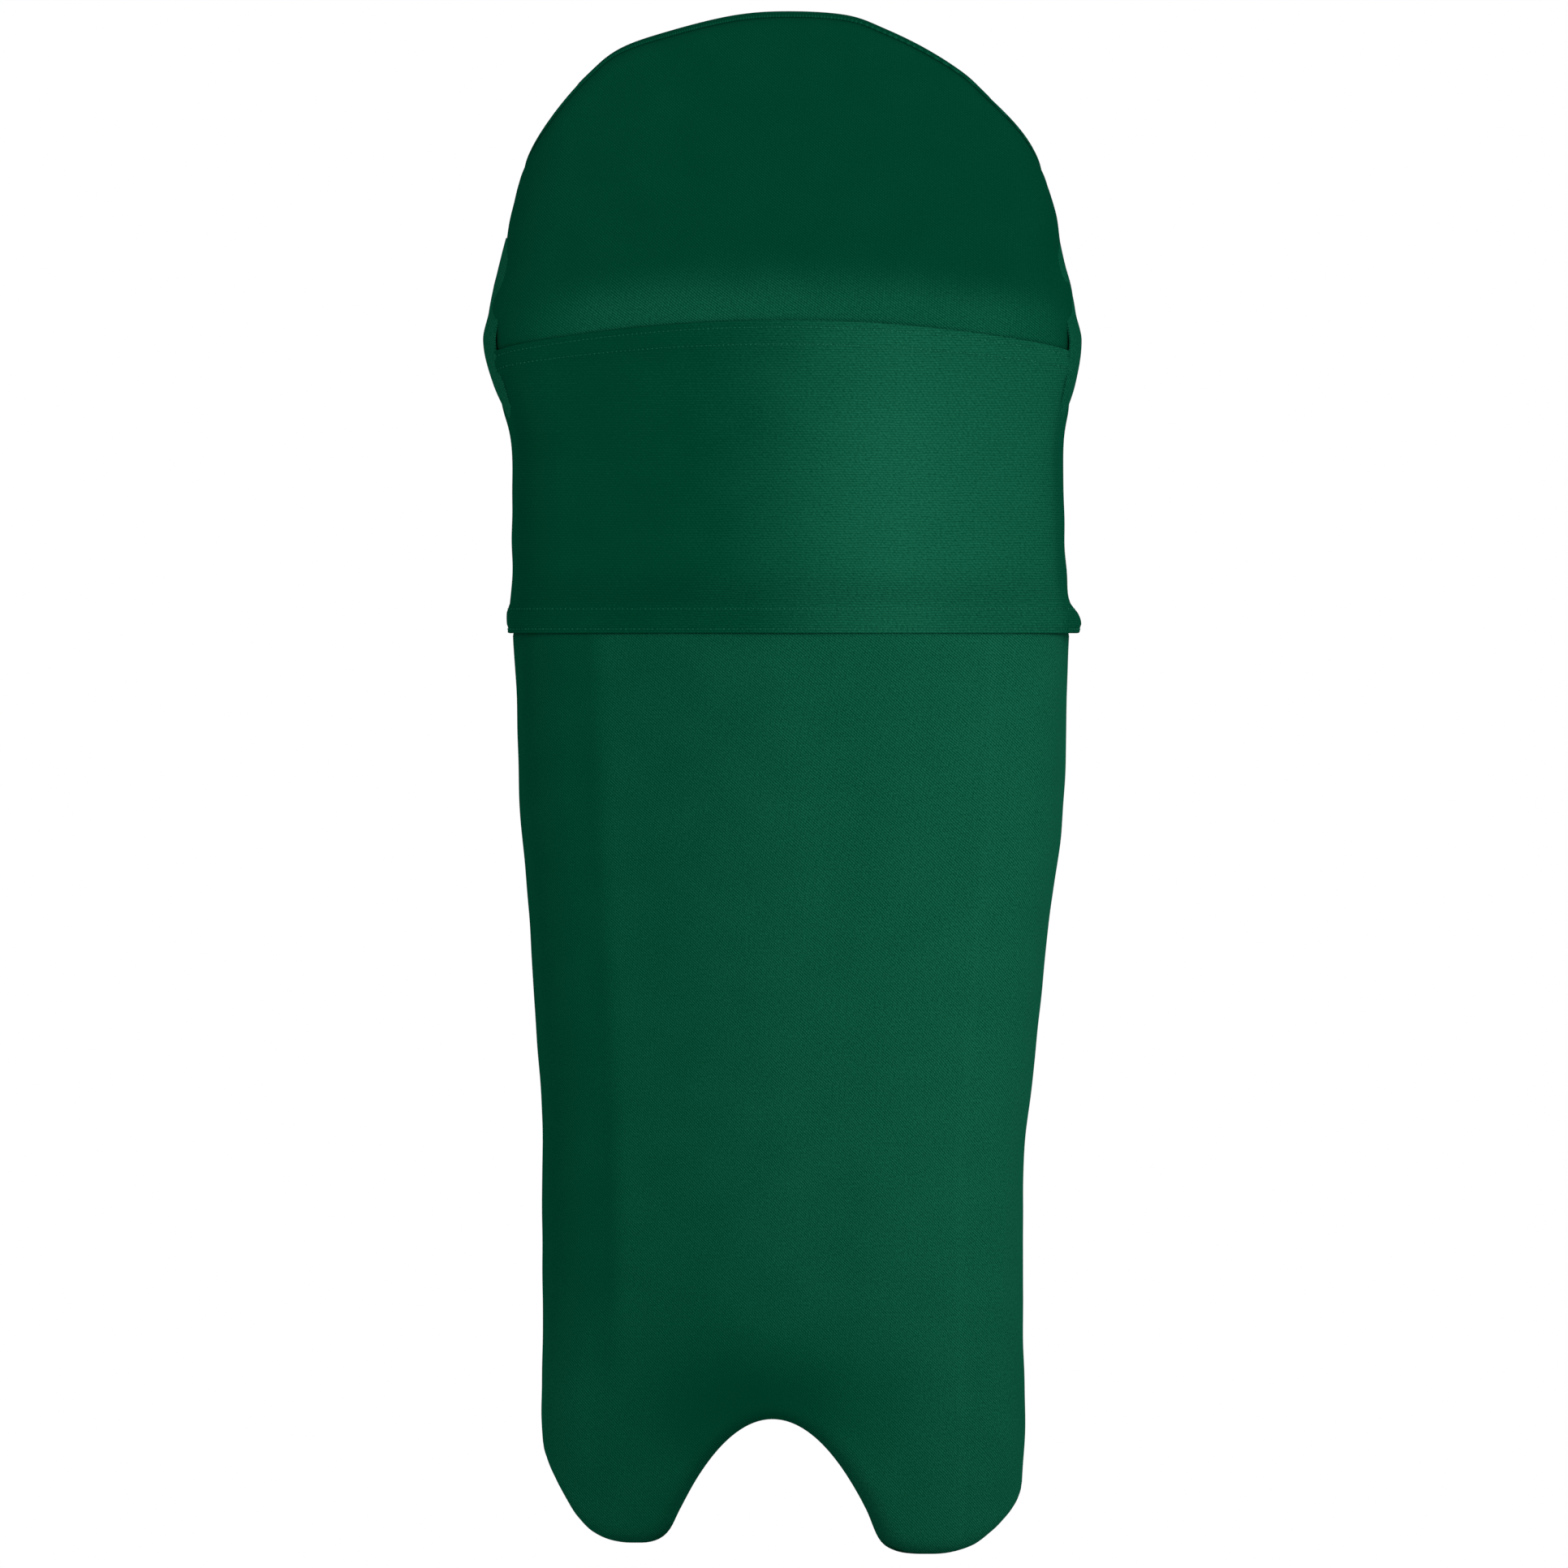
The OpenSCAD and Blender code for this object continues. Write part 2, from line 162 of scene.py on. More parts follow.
def cover_relief(s, z):
    """How far the knit stands out over what lies under it."""
    under = ease(z, 0.1, 0.16) * (1 - ease(z, 0.40, 0.43))
    out = 0.45 * MM * ridge(s, 84 * MM, 2.6 * MM) * under
    out = out + 0.3 * MM * ridge(s, -80 * MM, 3 * MM) * (1 - ease(z, 0.43, 0.44))
    out = out + 0.35 * MM * waves(s, z, 0.09, 3) + 0.12 * MM * waves(s, z, 0.022, 4)
    return out


# ---- Meshes ----

def mesh_piece(name, points, faces, cloth=None, smooth=True):
    data = bpy.data.meshes.new(name)
    data.from_pydata([tuple(p) for p in np.asarray(points).reshape(-1, 3).tolist()], [], faces)
    if cloth is not None:
        attribute = data.attributes.new("cloth", "FLOAT_VECTOR", "POINT")
        attribute.data.foreach_set("vector", np.asarray(cloth, np.float32).reshape(-1))
    data.update()
    if smooth:
        data.shade_smooth()
    o = bpy.data.objects.new(name, data)
    bpy.context.scene.collection.objects.link(o)
    return o


def graded(*spans):
    """Steps of uneven spacing, from (first, last, count) spans."""
    return np.unique(np.concatenate([np.linspace(*span) for span in spans]))


def ring_index(shape):
    """Vertex numbers of rings, with each ring's first number again at its end."""
    index = np.arange(shape[0] * shape[1]).reshape(shape[:2])
    return np.concatenate([index, index[:, :1]], 1)


def grid_faces(index, flip=False):
    """Quads over a 2-D array of vertex numbers, seen from outside: first axis to the right, second one up."""
    a, b, c, d = index[:-1, :-1], index[1:, :-1], index[1:, 1:], index[:-1, 1:]
    quads = np.stack([a, d, c, b] if flip else [a, b, c, d], -1).reshape(-1, 4)
    return quads.tolist()


def settle(o):
    """Applies the modifiers."""
    bpy.context.view_layer.update()
    data = bpy.data.meshes.new_from_object(o.evaluated_get(bpy.context.evaluated_depsgraph_get()))
    o.modifiers.clear()
    o.data = data
    return o


def thicken(o, thickness, offset=-1):
    m = o.modifiers.new("thickness", "SOLIDIFY")
    m.thickness, m.offset = thickness, offset
    settle(o)
    o.data.set_sharp_from_angle(angle=math.radians(50))
    return o


def cloth_of(s, z, d=0):
    s, z, d = np.broadcast_arrays(s, z, d)
    return np.stack([s, z, d], -1)


def joined(name, parts):
    """One piece from (points, faces, cloth) parts."""
    points, faces, cloth, base = [], [], [], 0
    for p, f, c in parts:
        p = np.asarray(p).reshape(-1, 3)
        points.append(p)
        cloth.append(np.asarray(c).reshape(-1, 3))
        faces += [[i + base for i in q] for q in f]
        base += len(p)
    return mesh_piece(name, np.concatenate(points), faces, np.concatenate(cloth))


def tube_part(centres, radius, sides=6):
    """A round tube along centres, closed at its ends, as a part for joined()."""
    c = np.asarray(centres, float)
    tangent = np.gradient(c, axis=0)
    tangent /= np.linalg.norm(tangent, axis=1, keepdims=True) + 1e-12
    side = np.cross(tangent, [0.0, 1.0, 0.13])
    side /= np.linalg.norm(side, axis=1, keepdims=True) + 1e-12
    up = np.cross(side, tangent)
    angles = np.arange(sides) * 2 * math.pi / sides
    radius = np.broadcast_to(radius, len(c))[:, None, None]
    cos, sin = np.cos(angles)[:, None], np.sin(angles)[:, None]
    ring = c[:, None] + radius * (side[:, None] * cos + up[:, None] * sin)
    index = ring_index(ring.shape)
    faces = grid_faces(index, flip=True) + [index[0, :-1].tolist(), index[-1, -2::-1].tolist()]
    return ring, faces, cloth_of(c[:, 0, None] + 0 * ring[..., 0], c[:, 2, None] + 0 * ring[..., 0])


# ---- The outline of the cover, and skins that wrap round it ----

def spline(knots, spacing):
    """Evenly spaced points on a Catmull-Rom curve through the knots, given in mm."""
    p = np.array([knots[0]] + list(knots) + [knots[-1]], float) * MM
    t = np.linspace(0, 1, 40, endpoint=False)[:, None]
    curve = []
    for a, b, c, d in zip(p, p[1:], p[2:], p[3:]):
        square, cube = 2 * a - 5 * b + 4 * c - d, 3 * b - a - 3 * c + d
        curve.append(0.5 * (2 * b + (c - a) * t + square * t ** 2 + cube * t ** 3))
    curve = np.concatenate(curve + [p[-1:]])
    run = np.concatenate([[0], np.cumsum(np.linalg.norm(np.diff(curve, axis=0), axis=1))])
    even = np.linspace(0, run[-1], max(2, int(run[-1] / spacing)))
    return np.stack([np.interp(even, run, curve[:, i]) for i in (0, 1)], -1)


class Outline:
    """An edge of the pad in (s, z), walked with the pad on its left, and the same edge set in by rounding."""

    def __init__(self, knots, rounding, spacing=1.0 * MM):
        self.edge = spline(knots, spacing)
        t = np.gradient(self.edge, axis=0)
        t /= np.linalg.norm(t, axis=1, keepdims=True)
        n = np.stack([t[:, 1], -t[:, 0]], -1)
        k = np.ones(9) / 9
        n = np.stack([np.convolve(np.pad(n[:, i], 4, mode="edge"), k, "valid") for i in (0, 1)], -1)
        self.normal = n / np.linalg.norm(n, axis=1, keepdims=True)
        self.inset = self.edge - self.normal * rounding
        self.at_t = np.arange(len(self.edge)) * 1.0
        turn = np.einsum("ij,ij->i", np.gradient(self.normal, axis=0), t) / np.linalg.norm(
            np.gradient(self.edge, axis=0), axis=1)
        k = np.ones(15) / 15
        self.bend = np.convolve(np.pad(turn, 7, mode="edge"), k, "valid")

    def where(self, s_value, side):
        """The place along the edge where the set-in edge crosses s_value, nearest the end on that side."""
        s = self.inset[:, 0]
        i = np.nonzero((s[:-1] - s_value) * (s[1:] - s_value) <= 0)[0]
        i = i[0] if side < 0 else i[-1]
        return i + (s_value - s[i]) / (s[i + 1] - s[i] + 1e-15)

    def take(self, t):
        """Set-in points and outward normals at places t."""
        f = lambda a: np.stack([np.interp(t, self.at_t, a[:, i]) for i in (0, 1)], -1)
        return f(self.inset), f(self.normal)

    def flap(self, t, widest, share=0.62):
        """How far a flap may run in at places t: less where the edge turns tightly round it."""
        room = np.minimum(widest, share / np.maximum(self.bend, 1e-3))
        k = np.hanning(31)
        room = np.convolve(np.pad(room, 15, mode="edge"), k / k.sum(), "valid")
        return np.interp(t, self.at_t, room)


def rim_rows(edge, normals, r, flap, depth_of, gather, seed):
    """Rows of (s, z, d) from the set-in points: over the edge, down its side, and back along a flap.

    flap is how far the flap runs in at each point, and depth_of(s) how deep the pad's inner side lies."""
    outer = edge + normals * r
    run = np.concatenate([[0], np.cumsum(np.linalg.norm(np.diff(outer, axis=0), axis=1))])
    flap = np.broadcast_to(flap, run.shape)
    quarter = np.radians([15, 30, 45, 60, 75, 90])
    side, back = np.array([0.33, 0.66, 1.0]), np.array([0.25, 0.5, 0.75, 0.9, 1.0])
    hem = np.array([[0.5, 0.7], [1.7, 1.3], [2.9, 0.9], [3.4, -0.3]]) * MM
    # each step: how far in, fixed and as a share of the flap, and how deep, as a share of the pad's and fixed
    steps = [(r * (1 - math.sin(q)), 0, 0, r * (1 - math.cos(q))) for q in quarter]
    steps += [(0, 0, f, r - 2 * r * f) for f in side]
    steps += [(r * (1 - math.cos(q)), 0, 1, r * math.sin(q) - r) for q in quarter]
    steps += [(r * (1 - f), f, 1, 0) for f in back]
    steps += [(i, 1, 1, d) for i, d in hem]
    fixed_in, share_in, share_d, fixed_d = (np.array(column)[:, None] for column in zip(*steps))
    inward = fixed_in + share_in * flap
    places = outer[None] - normals[None] * inward[..., None]
    pucker = np.sin(run / (3.1 * MM) + 1.3 * np.sin(run / (17 * MM) + seed))
    pucker = pucker * (0.7 + 0.3 * np.sin(run / (41 * MM)))
    depth = share_d * depth_of(places[..., 0]) + fixed_d + gather * np.clip(share_in, 0, 1) * pucker
    return np.concatenate([places, depth[..., None]], -1)


def skin(name, front, rim, rounding, flap, depth_of, tuck, gather=0.7 * MM, relief=cover_relief, seed=0,
         back=None):
    """A skin over a front grid of (s, z) that goes on round its rim, given as (grid places, outward normals).

    tuck(s, z) draws the front in. back, if given, is where the flap ends, behind the pad."""
    s, z = front[..., 0], front[..., 1]
    d = -relief(s, z) + tuck(s, z)
    index = np.arange(s.size).reshape(s.shape)
    places, cloth = [np.stack([s, z, d], -1).reshape(-1, 3)], [cloth_of(s, z).reshape(-1, 3)]
    faces = grid_faces(index)
    at_rim, normals = tuple(np.array(rim[0]).T), rim[1]
    edge, lift, last = front[at_rim], d[at_rim], index[at_rim]
    rows = rim_rows(edge, normals, rounding, flap, depth_of, gather, seed)
    if back is not None:
        f = np.linspace(0, 1, 22)[1:, None, None]
        target = np.concatenate([back, depth_of(back[:, :1])], 1)
        start = rows[-5]
        rows = np.concatenate([rows[:-4], start + (target - start) * f])
        rows[-1, :, 2] += 1.4 * MM
    walked, previous, base = 0.0, np.concatenate([edge, lift[:, None]], 1), s.size
    for k, row in enumerate(rows):
        row[:, 2] += lift * max(0.0, 1 - (k + 1) / 6)
        walked = walked + np.linalg.norm(row - previous, axis=1)
        previous = row
        out = edge + normals * walked[:, None]
        places.append(row)
        cloth.append(cloth_of(out[:, 0], out[:, 1]))
        new = np.arange(base, base + len(edge))
        faces += grid_faces(np.stack([new, last], 1))
        last, base = new, base + len(edge)
    p = np.concatenate(places)
    return mesh_piece(name, at(p[:, 0], p[:, 1], p[:, 2]), faces, np.concatenate(cloth))


# ---- Materials ----

def srgb(r, g, b):
    f = lambda v: v / 12.92 if v <= 0.04045 else ((v + 0.055) / 1.055) ** 2.4
    return (f(r / 255), f(g / 255), f(b / 255), 1)


class Nodes:
    """A short way to write a material's nodes."""

    def __init__(self, name):
        self.material = bpy.data.materials.new(name)
        self.material.use_nodes = True
        self.tree = self.material.node_tree
        self.shader = self.tree.nodes["Principled BSDF"]

    def add(self, kind, inputs=(), **settings):
        n = self.tree.nodes.new(kind)
        for k, v in settings.items():
            setattr(n, k, v)
        for socket, value in dict(inputs).items():
            self.set(n.inputs[socket], value)
        return n

    def set(self, socket, value):
        if isinstance(value, bpy.types.NodeSocket):
            self.tree.links.new(value, socket)
        else:
            socket.default_value = value

    def math(self, operation, *values):
        n = self.add("ShaderNodeMath", operation=operation)
        for i, v in enumerate(values):
            self.set(n.inputs[i], v)
        return n.outputs[0]

    def mix(self, factor, a, b):
        n = self.add("ShaderNodeMix", data_type="RGBA")
        self.set(n.inputs["Factor"], factor)
        self.set(n.inputs[6], a)
        self.set(n.inputs[7], b)
        return n.outputs[2]

    def noise(self, vector, scale, detail=2.0):
        n = self.add("ShaderNodeTexNoise", {"Scale": scale, "Detail": detail, "Vector": vector})
        return n.outputs["Fac"]

    def cloth(self):
        """Sideways and upward places on the cloth, in metres, and the vector of both."""
        v = self.add("ShaderNodeAttribute", attribute_name="cloth").outputs["Vector"]
        xyz = self.add("ShaderNodeSeparateXYZ", {"Vector": v})
        return xyz.outputs["X"], xyz.outputs["Y"], v

    def wave(self, u, v, across, along, phase=0.0):
        """0 to 1 ripples of pitch 1/|(across, along)| over places u and v, in metres."""
        total = self.math("ADD", self.math("MULTIPLY", u, 2 * math.pi * across),
                          self.math("MULTIPLY", v, 2 * math.pi * along))
        total = self.math("ADD", total, phase)
        return self.math("MULTIPLY_ADD", self.math("SINE", total), 0.5, 0.5)

    def finish(self, colour, height, depth, roughness=0.8, **sockets):
        self.set(self.shader.inputs["Base Color"], colour)
        self.set(self.shader.inputs["Roughness"], roughness)
        if height is not None:
            bump = self.add("ShaderNodeBump", {"Height": height, "Distance": depth, "Strength": 1.0})
            self.set(self.shader.inputs["Normal"], bump.outputs["Normal"])
        for name, value in sockets.items():
            self.shader.inputs[name.replace("_", " ")].default_value = value
        return self.material


def knit_material(name, dark, light, ridge_pitch, ridge_angle, dash_pitch, dash=0.35, contrast=0.9):
    """A fine stretch knit: ridges at an angle, broken into dashes, on yarn of uneven tone, and lightened by
    painted light and shade read from a point attribute.
    """
    n = Nodes(name)
    u, v, place = n.cloth()
    wander = n.math("MULTIPLY", n.noise(place, 70.0, 2), 9.0)
    drift = n.math("MULTIPLY_ADD", n.noise(place, 260.0, 3), 2.2, wander)
    a = math.radians(ridge_angle)
    rows = n.wave(u, v, math.sin(a) / ridge_pitch, math.cos(a) / ridge_pitch, drift)
    step = n.math("MULTIPLY", n.noise(place, 420.0, 1), 3.0)
    dashes = n.wave(u, v, math.cos(a) / dash_pitch + 0.5 * math.sin(a) / ridge_pitch,
                    -math.sin(a) / dash_pitch + 0.5 * math.cos(a) / ridge_pitch, step)
    height = n.math("MULTIPLY", rows, n.math("MULTIPLY_ADD", dashes, dash, 1 - dash))
    yarn = n.noise(place, 900.0, 2)
    patch = n.noise(place, 45.0, 3)
    # painted light and shade from a point attribute: the higher it is, the lighter the knit is drawn and the
    # stronger its pattern
    painted_shading = n.add("ShaderNodeAttribute", attribute_name="stretch").outputs["Fac"]
    factor = n.math("MULTIPLY_ADD", height, contrast, -0.4 * contrast)
    factor = n.math("ADD", factor, n.math("MULTIPLY_ADD", yarn, 0.9, -0.45))
    factor = n.math("MULTIPLY", factor, n.math("MULTIPLY_ADD", painted_shading, 1.5, 0.3))
    factor = n.math("ADD", factor, n.math("MULTIPLY_ADD", patch, 0.16, -0.08))
    factor = n.math("ADD", factor, painted_shading)
    colour = n.mix(factor, dark, light)
    rough = n.math("MULTIPLY_ADD", height, -0.12, 0.86)
    return n.finish(colour, height, 0.16 * MM, rough, Sheen_Weight=0.04, Sheen_Roughness=0.4,
                    Specular_IOR_Level=0.0, Sheen_Tint=(0.02, 0.5, 0.3, 1))


def woven_material(name, light, dark, pitch, depth, roughness=0.8, sheen=0.2):
    """A plain weave, crossed threads of two tones."""
    n = Nodes(name)
    u, v, place = n.cloth()
    warp, weft = n.wave(u, v, 1 / pitch, 0), n.wave(u, v, 0, 1 / pitch)
    over = n.math("GREATER_THAN", n.wave(u, v, 0.5 / pitch, 0.5 / pitch), 0.5)
    under = n.math("SUBTRACT", 1.0, over)
    height = n.math("ADD", n.math("MULTIPLY", warp, over), n.math("MULTIPLY", weft, under))
    soil = n.noise(place, 28.0, 4)
    factor = n.math("MULTIPLY_ADD", height, 0.45, n.math("MULTIPLY", soil, 0.5))
    return n.finish(n.mix(factor, dark, light), height, depth, roughness, Sheen_Weight=sheen,
                    Specular_IOR_Level=0.3)


def leather_material(name, light, dark):
    """Coated leather-like facing with a fine pebble and soft creases."""
    n = Nodes(name)
    place = n.add("ShaderNodeTexCoord").outputs["Object"]
    cells = n.add("ShaderNodeTexVoronoi", {"Vector": place, "Scale": 900.0}, feature="SMOOTH_F1")
    pebble = cells.outputs["Distance"]
    crease = n.noise(place, 60.0, 5)
    height = n.math("ADD", n.math("MULTIPLY", pebble, 0.5), crease)
    rough = n.math("MULTIPLY_ADD", crease, 0.25, 0.38)
    return n.finish(n.mix(crease, dark, light), height, 0.12 * MM, rough, Specular_IOR_Level=0.45)


def foam_material(name, light, dark):
    n = Nodes(name)
    place = n.add("ShaderNodeTexCoord").outputs["Object"]
    cells = n.add("ShaderNodeTexVoronoi", {"Vector": place, "Scale": 700.0}).outputs["Distance"]
    age = n.noise(place, 14.0, 4)
    factor = n.math("MULTIPLY_ADD", cells, 0.6, n.math("MULTIPLY", age, 0.4))
    return n.finish(n.mix(factor, dark, light), cells, 0.25 * MM, 0.95, Specular_IOR_Level=0.15)


def cane_material(name):
    n = Nodes(name)
    place = n.add("ShaderNodeTexCoord").outputs["Object"]
    long = n.add("ShaderNodeMapping", {"Vector": place, "Scale": (900.0, 900.0, 25.0)}).outputs["Vector"]
    fibre = n.noise(long, 1.0, 4)
    knots = n.noise(place, 12.0, 2)
    factor = n.math("MULTIPLY_ADD", fibre, 0.7, n.math("MULTIPLY", knots, 0.3))
    return n.finish(n.mix(factor, srgb(150, 110, 60), srgb(222, 188, 128)), fibre, 0.1 * MM,
                    n.math("MULTIPLY_ADD", fibre, 0.2, 0.4), Specular_IOR_Level=0.4)


def webbing_material(name, light, dark):
    """Woven strap webbing: ribs across it and a chevron of yarn."""
    n = Nodes(name)
    u, v, place = n.cloth()
    ribs = n.wave(u, v, 1 / (1.5 * MM), 0)
    chevron = n.wave(n.math("ABSOLUTE", v), u, 1 / (2.6 * MM), 1 / (1.5 * MM))
    height = n.math("MULTIPLY_ADD", chevron, 0.5, n.math("MULTIPLY", ribs, 0.5))
    soil = n.noise(place, 35.0, 4)
    factor = n.math("MULTIPLY_ADD", height, 0.5, n.math("MULTIPLY", soil, 0.45))
    return n.finish(n.mix(factor, dark, light), height, 0.3 * MM, 0.75, Sheen_Weight=0.15,
                    Specular_IOR_Level=0.3)


def pile_material(name, light, dark, scale):
    """Hook-and-loop pile."""
    n = Nodes(name)
    place = n.cloth()[2]
    cells = n.add("ShaderNodeTexVoronoi", {"Vector": place, "Scale": scale}).outputs["Distance"]
    soil = n.noise(place, 60.0, 3)
    factor = n.math("MULTIPLY_ADD", cells, 0.9, n.math("MULTIPLY", soil, 0.3))
    return n.finish(n.mix(factor, light, dark), cells, 0.5 * MM, 0.9, Sheen_Weight=0.4,
                    Specular_IOR_Level=0.2)


# Shaded and lit tones of the green knit and of its thread: the knit's pattern mixes between them, and so does
# the painted light and shade.
GREEN_DARK, GREEN_LIGHT = (0.0001, 0.044, 0.0205, 1), (0.0105, 0.134, 0.073, 1)
THREAD_DARK, THREAD_LIGHT = (0.0005, 0.058, 0.028, 1), (0.016, 0.165, 0.095, 1)
M = {
    "shin": knit_material("cover_twill_knit", GREEN_DARK, GREEN_LIGHT, 0.93 * MM, 46, 1.3 * MM, 0.5),
    "band": knit_material("cover_band_knit", GREEN_DARK, GREEN_LIGHT, 1.1 * MM, 0, 1.5 * MM, 0.75, 0.5),
    "hood": knit_material("cover_hood_knit", GREEN_DARK, GREEN_LIGHT, 0.93 * MM, 42, 1.3 * MM, 0.5),
    "thread": knit_material("green_thread", THREAD_DARK, THREAD_LIGHT, 0.6 * MM, 30, 0.9 * MM),
    "lining": woven_material("lining_weave", srgb(232, 230, 222), srgb(196, 194, 186), 0.9 * MM, 0.12 * MM),
    "padding": woven_material("padded_mesh", srgb(236, 234, 228), srgb(200, 198, 190), 1.6 * MM, 0.25 * MM),
    "facing": leather_material("facing_leather", srgb(240, 240, 236), srgb(214, 213, 206)),
    "foam": foam_material("foam_cells", srgb(236, 228, 200), srgb(206, 194, 160)),
    "cane": cane_material("split_cane"),
    "webbing": webbing_material("strap_webbing", srgb(230, 229, 224), srgb(186, 184, 178)),
    "loop": pile_material("loop_pile", srgb(222, 221, 214), srgb(182, 180, 172), 1400.0),
    "hook": pile_material("hook_pile", srgb(212, 211, 204), srgb(160, 158, 150), 1000.0),
    "white_thread": woven_material("white_thread", srgb(235, 234, 230), srgb(205, 203, 198), 0.7 * MM,
                                   0.05 * MM),
}


def dressed(o, material):
    o.data.materials.clear()
    o.data.materials.append(M[material])
    return o


def stretch_tone(o, painted_shading):
    """Writes painted light and shade at each point, from its place on the cloth: how much lighter the knit is
    drawn there.
    """
    n = len(o.data.vertices)
    cloth = np.zeros(n * 3, np.float32)
    o.data.attributes["cloth"].data.foreach_get("vector", cloth)
    cloth = cloth.reshape(-1, 3)
    # the attribute carries painted light and shade
    attribute = o.data.attributes.new("stretch", "FLOAT", "POINT")
    attribute.data.foreach_set("value", painted_shading(cloth[:, 0], cloth[:, 1]).astype(np.float32))
    return o


def shin_painted_light(s, z):
    # Painted light and shade on the shin's knit: lighter towards the right where the key light falls, painted
    # shade towards the bottom, over the arch and down the left edge, and a painted highlight along the ridge
    # at the right.
    lit = 0.225 + 0.16 * ease(s, -60 * MM, 20 * MM) + 0.13 * ease(s, 20 * MM, 95 * MM)
    lit = lit - (0.12 - 0.07 * ease(-s, 30 * MM, 70 * MM)) * (1 - ease(z, 0.02, 0.20))
    arch_painted_shade = np.exp(-((s + 5 * MM) / (46 * MM)) ** 2 - ((z - 72 * MM) / (26 * MM)) ** 2)
    shade = 0.17 * ease(-s, 72 * MM, 84 * MM) * ease(z, 0.06, 0.15)
    return lit - 0.28 * arch_painted_shade - shade + 0.05 * ridge(s, 84 * MM, 2 * MM)


def band_painted_light(s, z):
    # Painted light on the knee band: a painted highlight a little right of the middle, strongest half way up,
    # lighter again towards the right side and falling off past the fold at the right end.
    middle = 50 * MM
    painted_highlight = ridge(s, middle, np.where(s < middle, 54 * MM, 46 * MM)) * (0.8 + 0.2 * ridge(z, 0.50, 0.06))
    side = 0.3 * ease(s, 60 * MM, 110 * MM)
    return 0.02 + 0.66 * painted_highlight + side * (1 - 0.5 * ease(s, 112 * MM, 120 * MM))


def hood_painted_light(s, z):
    # Painted light on the hood: a lit strip just above the seam across the middle, with the rest of the hood
    # left dark.
    near = 1 - ease(z, hood_seam(s) + 8 * MM, hood_seam(s) + 34 * MM)
    return 0.02 + 0.32 * near * (1 - ease(np.abs(s - 10 * MM), 70 * MM, 120 * MM))


# ---- The shin's cover: a middle panel, and one round each wing ----

ROUNDING = 7 * MM
FLAP = 20 * MM
ARCH = [(s, 63 - ((s + 5) / 7.4) ** 2) for s in range(-53, 44, 8)]
SHIN_EDGE = (
    [(-196, 438), (-196, 300), (-196, 150), (-192, 113), (-180, 86), (-160, 66), (-140, 53), (-125, 44),
     (-112, 31), (-100, 17), (-88, 8.5), (-76, 5.5), (-66, 6.5), (-59, 11)] + ARCH +
    [(50, 7), (58, 1.8), (69, 0.2), (80, 0.8), (91, 4), (102, 10), (112, 16.5), (125, 25), (140, 36),
     (160, 55), (180, 80), (192, 110), (196, 142), (196, 300), (196, 438)])
SHIN_OUTLINE = Outline(SHIN_EDGE, ROUNDING)
WING_CORNER_S = 183 * MM
SHIN_TOP = KNEE_Z + 8 * MM
RISE = graded((0, 0.03, 8), (0.03, 0.96, 112), (0.96, 1, 12))


def under_band(s, z):
    """The cover dips below the band's hem."""
    return 1.3 * MM * ease(z, KNEE_Z - 1.5 * MM, KNEE_Z + 2 * MM)


def middle_grid(outline, half, top, rise=RISE, columns=120):
    """(s, z) places over the shin's middle above the set-in edge, with the edge's places and normals."""
    t0, t1 = outline.where(-half, -1), outline.where(half, 1)
    steps = np.sort(np.concatenate([np.linspace(t0, t1, columns), [t0 + 0.3, t1 - 0.3]]))
    low, normals = outline.take(steps)
    low[:, 0] = np.maximum.accumulate(low[:, 0])
    s = np.broadcast_to(low[:, None, 0], (len(steps), len(rise)))
    z = low[:, None, 1] + (top - low[:, None, 1]) * rise
    return np.stack([s, z], -1), steps, normals


def shin_middle():
    grid, steps, normals = middle_grid(SHIN_OUTLINE, HINGE_S, SHIN_TOP)
    ids = [(i, 0) for i in range(len(steps))]
    return skin("shin_cover_middle", grid, (ids, normals), ROUNDING,
                SHIN_OUTLINE.flap(steps, FLAP), pad_depth, under_band, seed=1)


def wing_grid(outline, side, from_s, top, rise=RISE, columns=40):
    """(s, z) places over a wing, left to right, from from_s to the rear edge, and the edge's places."""
    t_fold = outline.where(side * from_s, side)
    t_end = 0.0 if side < 0 else outline.at_t[-1]
    corner = outline.where(side * WING_CORNER_S, side)
    along = np.sort(np.concatenate([np.linspace(0, 1, columns), [0.004]]))
    low_t, rear_t = t_fold + (corner - t_fold) * along, corner + (t_end - corner) * rise
    low, rear = outline.take(low_t)[0], outline.take(rear_t)[0]
    rear[:, 1] = np.minimum(rear[:, 1], top - (1 - rise) * 1 * MM)
    u, v = along[:, None, None], rise[None, :, None]
    fold = np.stack([np.full(len(rise), low[0, 0]), low[0, 1] + (top - low[0, 1]) * rise], -1)
    high = np.stack([low[0, 0] + (rear[-1, 0] - low[0, 0]) * along, np.full(len(along), top)], -1)
    grid = ((1 - v) * low[:, None] + v * high[:, None] + (1 - u) * fold[None] + u * rear[None]
            - (1 - u) * (1 - v) * low[0] - u * (1 - v) * low[-1] - (1 - u) * v * high[0] - u * v * high[-1])
    last = len(along) - 1
    ids = [(i, 0) for i in range(len(along))] + [(last, j) for j in range(1, len(rise))]
    edge_t = np.concatenate([low_t, rear_t[1:]])
    if side < 0:
        return grid[::-1], [(last - i, j) for i, j in ids][::-1], edge_t[::-1]
    return grid, ids, edge_t


